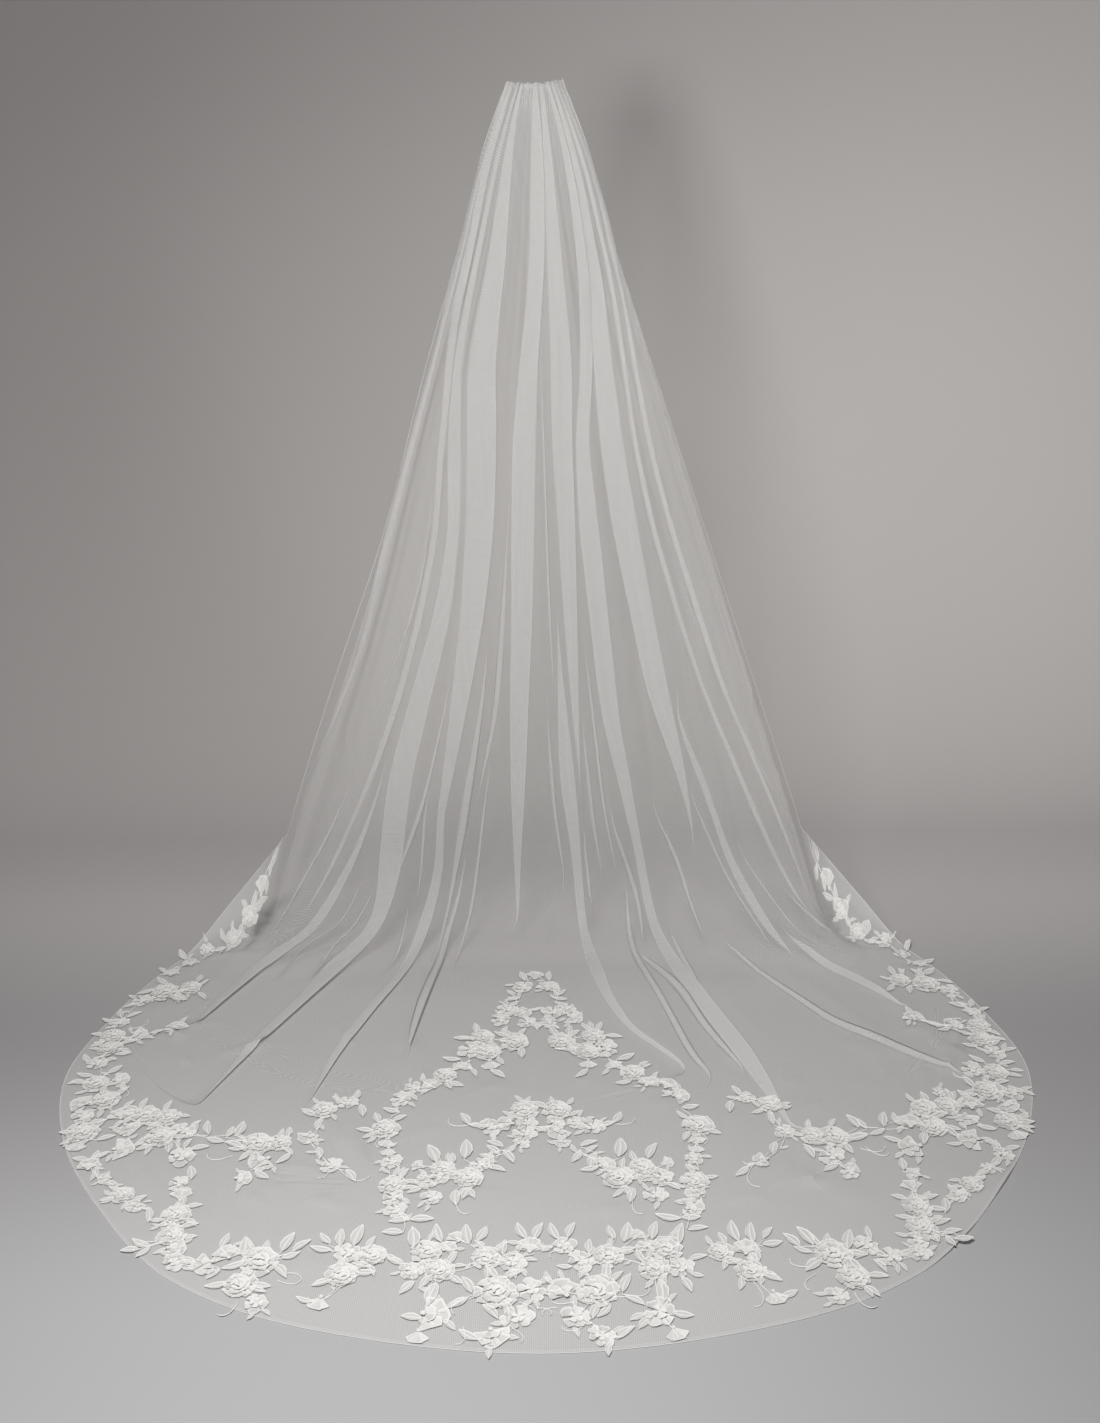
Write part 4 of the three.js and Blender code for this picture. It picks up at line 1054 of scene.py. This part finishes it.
# Motifs of unit radius, corded round each petal: vertices, faces and how corded each vertex is.
class Motif:
    def __init__(self):
        self.vertices, self.faces, self.cords = [], [], []

    def grid(self, rows):
        start, n = len(self.vertices), len(rows[0])
        for row in rows:
            for x, y, z, cord in row:
                self.vertices.append((x, y, z))
                self.cords.append(cord)
        for r in range(len(rows) - 1):
            for c in range(n - 1):
                k = start + r * n + c
                self.faces.append((k, k + n, k + n + 1, k + 1))

    # A ruffled petal that fans out from root to tip, one side tucked under the next petal.
    def petal(self, angle, spread, root, tip, base, lanes, steps, centre=(0, 0)):
        rows, shape = [], petalShape
        phase, filled = random.uniform(0, 6), random.uniform(0, 0.45)
        for s in steps:
            row = []
            for lane in lanes:
                ruffle = shape["ruffle"] * math.sin(shape["ruffleCount"] * lane + phase)
                notch = shape["notch"] * math.exp(-shape["notchSharpness"] * lane**2)
                rim = tip * (1 - shape["round"] * lane**2 + ruffle - notch)
                turn = angle + spread * lane * (shape["rootSpread"] + (1 - shape["rootSpread"]) * s**0.7)
                r = root + (rim - root) * s
                cord = 1.0 if s == steps[-1] or abs(lane) == 1 else filled
                z = base + shape["tilt"] * lane + shape["rise"] * s
                z += shape["cord"] * (cord == 1) - shape["groove"] * (abs(lane) < 0.1)
                row.append((centre[0] + r * math.cos(turn), centre[1] + r * math.sin(turn), z, cord))
            rows.append(row)
        self.grid(rows)

    # A pointed leaf with a corded rim and a raised vein, bent to one side.
    def leaf(self, width, bend):
        rows = []
        for s in leafShape["steps"]:
            half = max(width * math.sin(math.pi * s**0.9) ** 0.8, leafShape["least"])
            sway = bend * math.sin(math.pi * s)
            row = []
            for lane, cord in leafShape["lanes"]:
                height = leafShape["lift"] + leafShape["cord"] * cord
                row.append((2 * s - 1, half * lane + sway, height, float(cord)))
            rows.append(row)
        self.grid(rows)

    def button(self, radius, height, sides, centre=(0, 0)):
        start = len(self.vertices)
        for k in range(sides):
            angle = 2 * math.pi * k / sides
            x, y = centre[0] + radius * math.cos(angle), centre[1] + radius * math.sin(angle)
            self.vertices.append((x, y, height * 0.7))
            self.cords.append(0.0)
        self.vertices.append((*centre, height))
        self.cords.append(1.0)
        self.faces += [(start + k, start + (k + 1) % sides, start + sides) for k in range(sides)]

    def build(self, name):
        made = meshObject(name, self.vertices, self.faces)
        setNumbers(made.data, "cord", self.cords)
        made.data.shade_smooth()
        return made


# Rings of petals and their reach, petals of the open flowers, turns of a half-open flower's petals, and the
# width and bend of the leaves.
motifShapes = {
    "roses": (
        ((8, 1.0), (6, 0.72), (4, 0.42)),
        ((7, 1.0), (7, 0.75), (4, 0.46)),
        ((9, 1.0), (5, 0.68), (3, 0.4)),
    ),
    "flowers": (5, 6),
    "halfOpen": ((-1.15, -0.55, 0.0, 0.6, 1.2), (-0.95, -0.3, 0.4, 1.0)),
    "bud": (-0.45, 0.45, 0.0),
    "leaves": ((0.42, 0.1), (0.46, -0.1), (0.38, 0.16)),
}


# The motif library: three roses, two open flowers, two half-open ones, a bud and three leaves.
def buildMotifs():
    made = []
    low, tall = (0, 0.86, 1), (0, 0.5, 0.86, 1)
    wide, narrow = (-1, -0.84, -0.4, 0, 0.4, 0.84, 1), (-1, -0.78, 0, 0.78, 1)

    def finish(motif):
        made.append(motif.build(f"motif{len(made):02d}"))

    for rings in motifShapes["roses"]:
        rose = Motif()
        rose.button(0.6, 0.03, 7)
        for ring, (petals, tip) in enumerate(rings):
            twist = random.uniform(0, 6)
            steps = low if ring < 2 else (0, 1)
            for k in range(petals):
                angle = 2 * math.pi * k / petals + twist + random.uniform(-0.14, 0.14)
                long = tip * random.uniform(0.88, 1.14)
                rose.petal(angle, 3.7 / petals, 0.5 * tip, long, 0.025 * ring, narrow, steps)
        rose.petal(0, 1.9, 0.02, 0.24, 0.08, narrow, (0, 1))
        finish(rose)
    for petals in motifShapes["flowers"]:
        flower = Motif()
        flower.button(0.35, 0.03, 6)
        for k in range(petals):
            angle = 2 * math.pi * k / petals + random.uniform(-0.16, 0.16)
            flower.petal(angle, 3.1 / petals, 0.14, random.uniform(0.84, 1.16), 0, wide, low)
        for k in range(4):
            angle = 2 * math.pi * k / 4 + 0.3
            flower.petal(angle, 0.6, 0.05, random.uniform(0.4, 0.56), 0.04, narrow, (0, 1))
        finish(flower)
    for fanTurns in motifShapes["halfOpen"]:
        fan = Motif()
        for k, angle in enumerate(fanTurns):
            tip = 1.55 * (1 - 0.18 * abs(angle)) + random.uniform(-0.08, 0.12)
            fan.petal(angle, 0.42, 0.2, tip, 0.02 * (k % 2), narrow, tall, (-0.6, 0))
        for angle in (-0.5, 0.5):
            fan.petal(angle, 0.6, 0.1, 0.8, 0.06, narrow, (0, 0.75, 1), (-0.6, 0))
        fan.button(0.2, 0.16, 5, (-0.6, 0))
        finish(fan)
    bud = Motif()
    for angle in motifShapes["bud"]:
        bud.petal(angle, 0.45, 0.15, 1.75 - 0.3 * abs(angle), 0.03 * (angle == 0), narrow, tall, (-0.8, 0))
    bud.button(0.25, 0.1, 5, (-0.75, 0))
    finish(bud)
    for width, bend in motifShapes["leaves"]:
        leaf = Motif()
        leaf.leaf(width, bend)
        finish(leaf)
    return made


motifKinds = {"rose": (0, 1, 2), "flower": (3, 4, 5, 6, 4), "bud": (7,), "leaf": (8, 9, 10)}
motifSwell = {"rose": 1.0, "flower": 1.04, "bud": 1.05, "leaf": 1.02}


curlShape = {"steps": 11, "turn": 0.03, "tighten": 0.55}


# A tendril that tightens towards its tip, as plan points.
def curlPath(x, y, length, heading, turn):
    steps, points = curlShape["steps"], [(x, y)]
    for k in range(steps):
        heading += turn * (curlShape["turn"] + curlShape["tighten"] * (k / steps) ** 2)
        x += length / steps * math.cos(heading)
        y += length / steps * math.sin(heading)
        points.append((x, y))
    return points


def oneOf(kind):
    return int(random.choice(motifKinds[kind]))


# The heads and cords of one spray as a loose mesh, each head a lone point with its motif, size and heading.
def lacePlan(spray, sides):
    rules = laceRules
    points, edges = [], []
    values = {"kind": [], "size": [], "heading": [], "isCord": []}

    def point(x, y, *row):
        points.append((x, y, floorHeight))
        for column, value in zip(values.values(), row):
            column.append(value)

    def cordAlong(path):
        for k, (x, y) in enumerate(path):
            point(x, y, 0, 0.0, 0.0, 1.0)
            if k:
                edges.append((len(points) - 2, len(points) - 1))

    def leafFrom(x, y, out, aim, length, mostTurn=0):
        motif = oneOf("leaf")
        turn = random.uniform(-mostTurn, mostTurn) if mostTurn else 0
        point(x + out * math.cos(aim), y + out * math.sin(aim), motif, length, aim + turn, 0.0)

    for side in sides:
        rows = sprays[spray] + (rightOnly.get(spray, []) if side > 0 else [])
        heads = []
        for kind, x, y, size, degrees in rows:
            lean = rules["lean"] * np.clip((y - rules["leanFrom"]) / rules["leanOver"], 0, 1)
            place = (side * x + (lean if spray in leaning else 0)) / 1000, y / 1000 / rules["stretch"]
            heading = math.radians(degrees if side > 0 else 180 - degrees)
            heads.append((kind, *place, size / 1000, heading))
        flowers = [h for h in heads if h[0] not in ("leaf", "curl")]
        for n, (kind, x, y, size, heading) in enumerate(heads):
            if kind == "curl":
                cordAlong(curlPath(x, y, size, heading, random.choice([-1, 1])))
                continue
            swell = motifSwell[kind] * random.uniform(*rules["swell"])
            for _ in range(rules["tucked"].get(kind, 0)):
                aim = random.uniform(0, 2 * math.pi)
                length = size * random.uniform(*rules["tuckedLength"])
                leafFrom(x, y, size * swell + rules["tuckedOut"] * length, aim, length, rules["tuckedTurn"])
            motif = oneOf(kind)
            point(x, y, motif, size * swell, heading + random.uniform(-rules["turn"], rules["turn"]), 0.0)
            foot = (x, y)
            if kind == "leaf":
                foot = (x - size * math.cos(heading), y - size * math.sin(heading))
            earlier = flowers if kind == "leaf" else [h for h in heads[:n] if h in flowers]
            if not earlier:
                continue
            near = min(earlier, key=lambda h: math.hypot(h[1] - foot[0], h[2] - foot[1]) - h[3])
            gap = math.hypot(near[1] - foot[0], near[2] - foot[1])
            if gap >= rules["longestCord"]:
                continue
            bow = random.uniform(-rules["bow"], rules["bow"]) * gap
            ux, uy = (near[1] - foot[0]) / max(gap, 1e-6), (near[2] - foot[1]) / max(gap, 1e-6)
            path = []
            for k in range(rules["bowSteps"] + 1):
                t = k / rules["bowSteps"]
                swing = 4 * t * (1 - t) * bow
                path.append((foot[0] + ux * gap * t - uy * swing, foot[1] + uy * gap * t + ux * swing))
            cordAlong(path)
            if gap > rules["sprigFrom"]:
                length = random.uniform(*rules["sprig"])
                aim = math.atan2(uy, ux) + random.choice([-1, 1]) * random.uniform(*rules["sprigTurn"])
                leafFrom(*path[rules["bowSteps"] // 2], length, aim, length)
    plan = meshObject("plan", points, [], edges)
    for name, column in values.items():
        setNumbers(plan.data, name, column)
    return plan


# Puts a motif on each head, runs a round cord along each edge and lays both on the net.
def laceTree(material):
    inputs = {"Net": "Object", "Motifs": "Collection", "Cord Radius": "Float", "Stretch": "Vector"}
    tree, given = newTree("laceOnNet", inputs)

    def read(name):
        found = add(tree, "GeometryNodeInputNamedAttribute", {"Name": name}, data_type="FLOAT")
        return found.outputs["Attribute"]

    plan = {"Geometry": given["Geometry"], "Selection": read("isCord")}
    split = add(tree, "GeometryNodeSeparateGeometry", plan)
    sides, step = laceRules["cordSides"], laceRules["cordStep"]
    cords = cordOn(tree, split.outputs["Selection"], given["Cord Radius"], sides, step)
    marked = {"Geometry": cords, "Name": "cord", "Value": 1.0}
    white = add(tree, "GeometryNodeStoreNamedAttribute", marked, data_type="FLOAT", domain="POINT")
    apart = {"Collection": given["Motifs"], "Separate Children": True, "Reset Children": True}
    library = add(tree, "GeometryNodeCollectionInfo", apart).outputs[0]
    turn = add(tree, "ShaderNodeCombineXYZ", {"Z": read("heading")}).outputs[0]
    heads = add(tree, "GeometryNodeMeshToPoints", {"Mesh": split.outputs["Inverted"]}).outputs[0]
    picked = {"Instance": library, "Pick Instance": True, "Instance Index": read("kind")}
    standing = {"Points": heads, **picked, "Rotation": turn, "Scale": read("size")}
    placed = add(tree, "GeometryNodeInstanceOnPoints", standing).outputs[0]
    real = add(tree, "GeometryNodeRealizeInstances", {"Geometry": placed}).outputs[0]
    drawn = add(tree, "GeometryNodeInputPosition").outputs[0]
    longer = {0: drawn, 1: given["Stretch"]}
    position = add(tree, "ShaderNodeVectorMath", longer, operation="MULTIPLY").outputs[0]

    def raised(name):
        moved = {0: position, 1: (0, 0, laceRules[name])}
        return add(tree, "ShaderNodeVectorMath", moved, operation="ADD").outputs[0]

    above, nearby = raised("castFrom"), raised("nearFrom")
    target = add(tree, "GeometryNodeObjectInfo", {"Object": given["Net"]}).outputs["Geometry"]
    ray = {"Source Position": above, "Ray Direction": (0, 0, -1), "Ray Length": laceRules["castLength"]}
    cast = add(tree, "GeometryNodeRaycast", {"Target Geometry": target, **ray}).outputs
    beside = add(tree, "GeometryNodeProximity", {"Geometry": target, "Sample Position": nearby}).outputs
    choice = {"Switch": cast["Is Hit"], "False": beside["Position"], "True": cast["Hit Position"]}
    ground = add(tree, "GeometryNodeSwitch", choice, input_type="VECTOR").outputs[0]
    under = add(tree, "ShaderNodeSeparateXYZ", {0: ground}).outputs
    own = add(tree, "ShaderNodeSeparateXYZ", {0: position}).outputs
    relief = calculated(tree, "SUBTRACT", own["Z"], floorHeight - laceRules["lift"])
    onNet = calculated(tree, "ADD", under["Z"], relief)
    where = add(tree, "ShaderNodeCombineXYZ", {"X": own["X"], "Y": own["Y"], "Z": onNet}).outputs[0]
    both = joined(tree, real, white.outputs[0])
    laid = add(tree, "GeometryNodeSetPosition", {"Geometry": both, "Position": where}).outputs[0]
    return finishTree(tree, laid, material)


# Corded lace: raised cords of ivory-white cotton round fillings of finer stitches, which let some of the
# net through. The fillings are also coloured greyer than the cords, partly for their thinner stitches and
# partly as painted shade that stands in for the shading beside the raised cords.
laceLook = {
    # the fillings' grey is partly their thinner stitches and partly painted shade beside the raised cords
    "shadedFilling": "#c8c5c2",
    "cord": "#e3e1de",
    "roughness": 0.7,
    "specular": 0.3,
    "sheen": 0.15,
    "stitch": 700.0,  # satin stitches are about 0.4 mm apart and drawn at 1.4 mm, the finest that shows
    "solidAt": 0.6,
    "solid": (0.8, 1.0),
    "relief": (0.4, 0.0006),
}


def laceMaterial():
    material, tree = newMaterial("ivoryCordedLace")
    cord = attribute(tree, "cord")
    noise = {"Vector": objectPlace(tree), "Scale": laceLook["stitch"], "Detail": 2.0}
    grain = add(tree, "ShaderNodeTexNoise", noise).outputs["Fac"]
    stitched = calculated(tree, "MULTIPLY_ADD", grain, 0.5, cord)
    mix = {0: stitched, 6: linear(laceLook["shadedFilling"]), 7: linear(laceLook["cord"])}
    colour = add(tree, "ShaderNodeMix", mix, data_type="RGBA").outputs[2]
    solid = mapped(tree, stitched, (0, laceLook["solidAt"]), laceLook["solid"])
    matt = {"Roughness": laceLook["roughness"], "Specular IOR Level": laceLook["specular"]}
    look = {"Base Color": colour, "Sheen Weight": laceLook["sheen"], **matt}
    finishMaterial(tree, {**look, "Alpha": solid, "Normal": bump(tree, grain, *laceLook["relief"])})
    return material


motifs = buildMotifs()
library = bpy.data.collections.new("motifs")
for motif in motifs:
    library.objects.link(motif)
    bpy.context.scene.collection.objects.unlink(motif)
laceOnNet = laceTree(laceMaterial())
laceInputs = {
    "Net": net,
    "Motifs": library,
    "Cord Radius": laceRules["cordRadius"],
    "Stretch": (1.0, laceRules["stretch"], 1.0),
}
for spray in sprays:
    sides = {"": (1, -1)} if spray in acrossMiddle else {"_R": (1,), "_L": (-1,)}
    for suffix, signs in sides.items():
        mesh = applied(lacePlan(spray, signs), laceOnNet, laceInputs)
        words = spray.split("_") + ["lace"] + {"": [], "_R": ["right"], "_L": ["left"]}[suffix]
        name = words[0] + "".join(word.title() for word in words[1:])
        added(name, mesh, "lace", "lace_" + spray + suffix)
for motif in motifs:
    bpy.data.objects.remove(motif)


# A plain seamless paper sweep behind and below, as in the studio. Its colour is painted light and shade:
# pale at the front, darker on the floor under the train and darkest under its back part, which offsets
# the pool of the lamp over the train, and pale again up the wall.
paper = {
    "from": -2.8,
    "to": 1.0,
    "colours": ("#bdbdbf", "#c4c0be"),
    # painted shade: these darker stops lie under the train and offset the lamp over it
    "between": ((0.3, "#acabac"), (0.56, "#9a9798"), (0.78, "#bcb8b7")),
    "wall": 1.6,
    "bend": 1.1,
    "bendSteps": 32,
    "high": 2.2,
    "halfWidth": 1.75,
    "floorX": (-6, 6),
    "floorY": (-6.5, 4.5),
    "overFloor": 0.0001,
}


def paperMaterial():
    material, tree = newMaterial("greySeamlessPaper")
    where = add(tree, "ShaderNodeNewGeometry").outputs["Position"]
    away = add(tree, "ShaderNodeSeparateXYZ", {0: where}).outputs["Y"]
    # the colour along Y is painted light and shade of the floor and wall
    ramp = add(tree, "ShaderNodeValToRGB", {"Fac": mapped(tree, away, (paper["from"], paper["to"]))})
    ramp.color_ramp.interpolation = "EASE"
    stops = ramp.color_ramp.elements
    stops[0].color, stops[1].color = (linear(code) for code in paper["colours"])
    for place, code in paper["between"]:
        stops.new(place).color = linear(code)
    grain = add(tree, "ShaderNodeTexNoise", {"Vector": objectPlace(tree), "Scale": 60.0}).outputs["Fac"]
    look = {"Base Color": ramp.outputs["Color"], "Roughness": 0.9, "Specular IOR Level": 0.15}
    finishMaterial(tree, {**look, "Normal": bump(tree, grain, 0.05, 0.001)})
    return material


# A wide floor, and a wall of bent paper just wider than the picture, so that views from the sides stay open.
def buildSweep():
    wall, bend = paper["wall"], paper["bend"]
    vertices = [(x, y, floorHeight) for y in paper["floorY"] for x in paper["floorX"]]
    profile = []
    for k in range(paper["bendSteps"] + 1):
        angle = math.pi / 2 * k / paper["bendSteps"]
        profile.append((wall - bend + bend * math.sin(angle), bend - bend * math.cos(angle)))
    profile.append((wall, paper["high"]))
    for y, z in profile:
        height = floorHeight + z + paper["overFloor"]
        vertices += [(side * paper["halfWidth"], y, height) for side in (-1, 1)]
    faces = [(0, 1, 3, 2)]
    for k in range(2, len(profile) + 1):
        faces.append((2 * k, 2 * k + 1, 2 * k + 3, 2 * k + 2))
    sweep = meshObject("sweep", vertices, faces)
    sweep.data.shade_smooth()
    sweep.data.materials.append(paperMaterial())
    return sweep


sweep = buildSweep()
print("paper:", len(sweep.data.polygons), "faces")

# Place, aim, width and height, beam in degrees and power in watts.
lamps = {
    "key": ((-0.75, -4.4, 0.06), (0.5, 0.5, -0.4), (0.5, 0.5), 75, 7.7),
    "keyWall": ((-0.75, -4.4, 0.06), (1.6, 1.4, -0.3), (0.5, 0.5), 50, 5.1),
    "wallWash": ((2.4, -1.6, -0.1), (1.3, 1.4, -1.0), (1.0, 1.0), 100, 4.6),
    "wallSpot": ((1.9, -2.4, 0.6), (0.9, 1.4, -0.9), (0.8, 0.8), 80, 6.5),
    "leftWash": ((-2.8, -1.8, 0.4), (-1.5, 1.4, 0.0), (1.0, 1.0), 120, 9.0),
    "overTrain": ((-0.45, -2.6, 1.6), (-0.2, -1.4, -1.7), (0.8, 0.6), 100, 37.5),
    "sideTrain": ((-1.7, -2.4, 1.4), (0.0, -1.1, -1.7), (0.5, 0.5), 100, 3.5),
}
for name, (place, aim, size, beam, power) in lamps.items():
    data = bpy.data.lights.new(name, "AREA")
    data.shape, data.size, data.size_y = "RECTANGLE", *size
    data.energy, data.spread = power, math.radians(beam)
    lamp = bpy.data.objects.new(name, data)
    lamp.location = place
    lamp.rotation_euler = (Vector(aim) - Vector(place)).to_track_quat("-Z", "Y").to_euler()
    bpy.context.scene.collection.objects.link(lamp)

glow = {"colour": "#d9d8d8", "strength": 0.02}
world = bpy.data.worlds.new("studio")
bpy.context.scene.world = world
world.use_nodes = True
world.node_tree.nodes["Background"].inputs["Color"].default_value = linear(glow["colour"])
world.node_tree.nodes["Background"].inputs["Strength"].default_value = glow["strength"]

view = {"place": (0.015, -4.5, 0.030), "tilt": 74, "roll": -0.7, "sensor": 36, "lens": 56.92}
cameraData = bpy.data.cameras.new("camera")
cameraData.sensor_fit, cameraData.sensor_width, cameraData.lens = "AUTO", view["sensor"], view["lens"]
camera = bpy.data.objects.new("camera", cameraData)
camera.location = view["place"]
tilt = Euler((math.radians(view["tilt"]), 0, 0)).to_matrix()
camera.rotation_euler = (tilt @ Euler((0, 0, math.radians(view["roll"]))).to_matrix()).to_euler()
bpy.context.scene.collection.objects.link(camera)
bpy.context.scene.camera = camera
bpy.context.scene.view_settings.view_transform = "Standard"
bpy.context.scene.cycles.transparent_max_bounces = 64
print("lamps:", len(lamps))
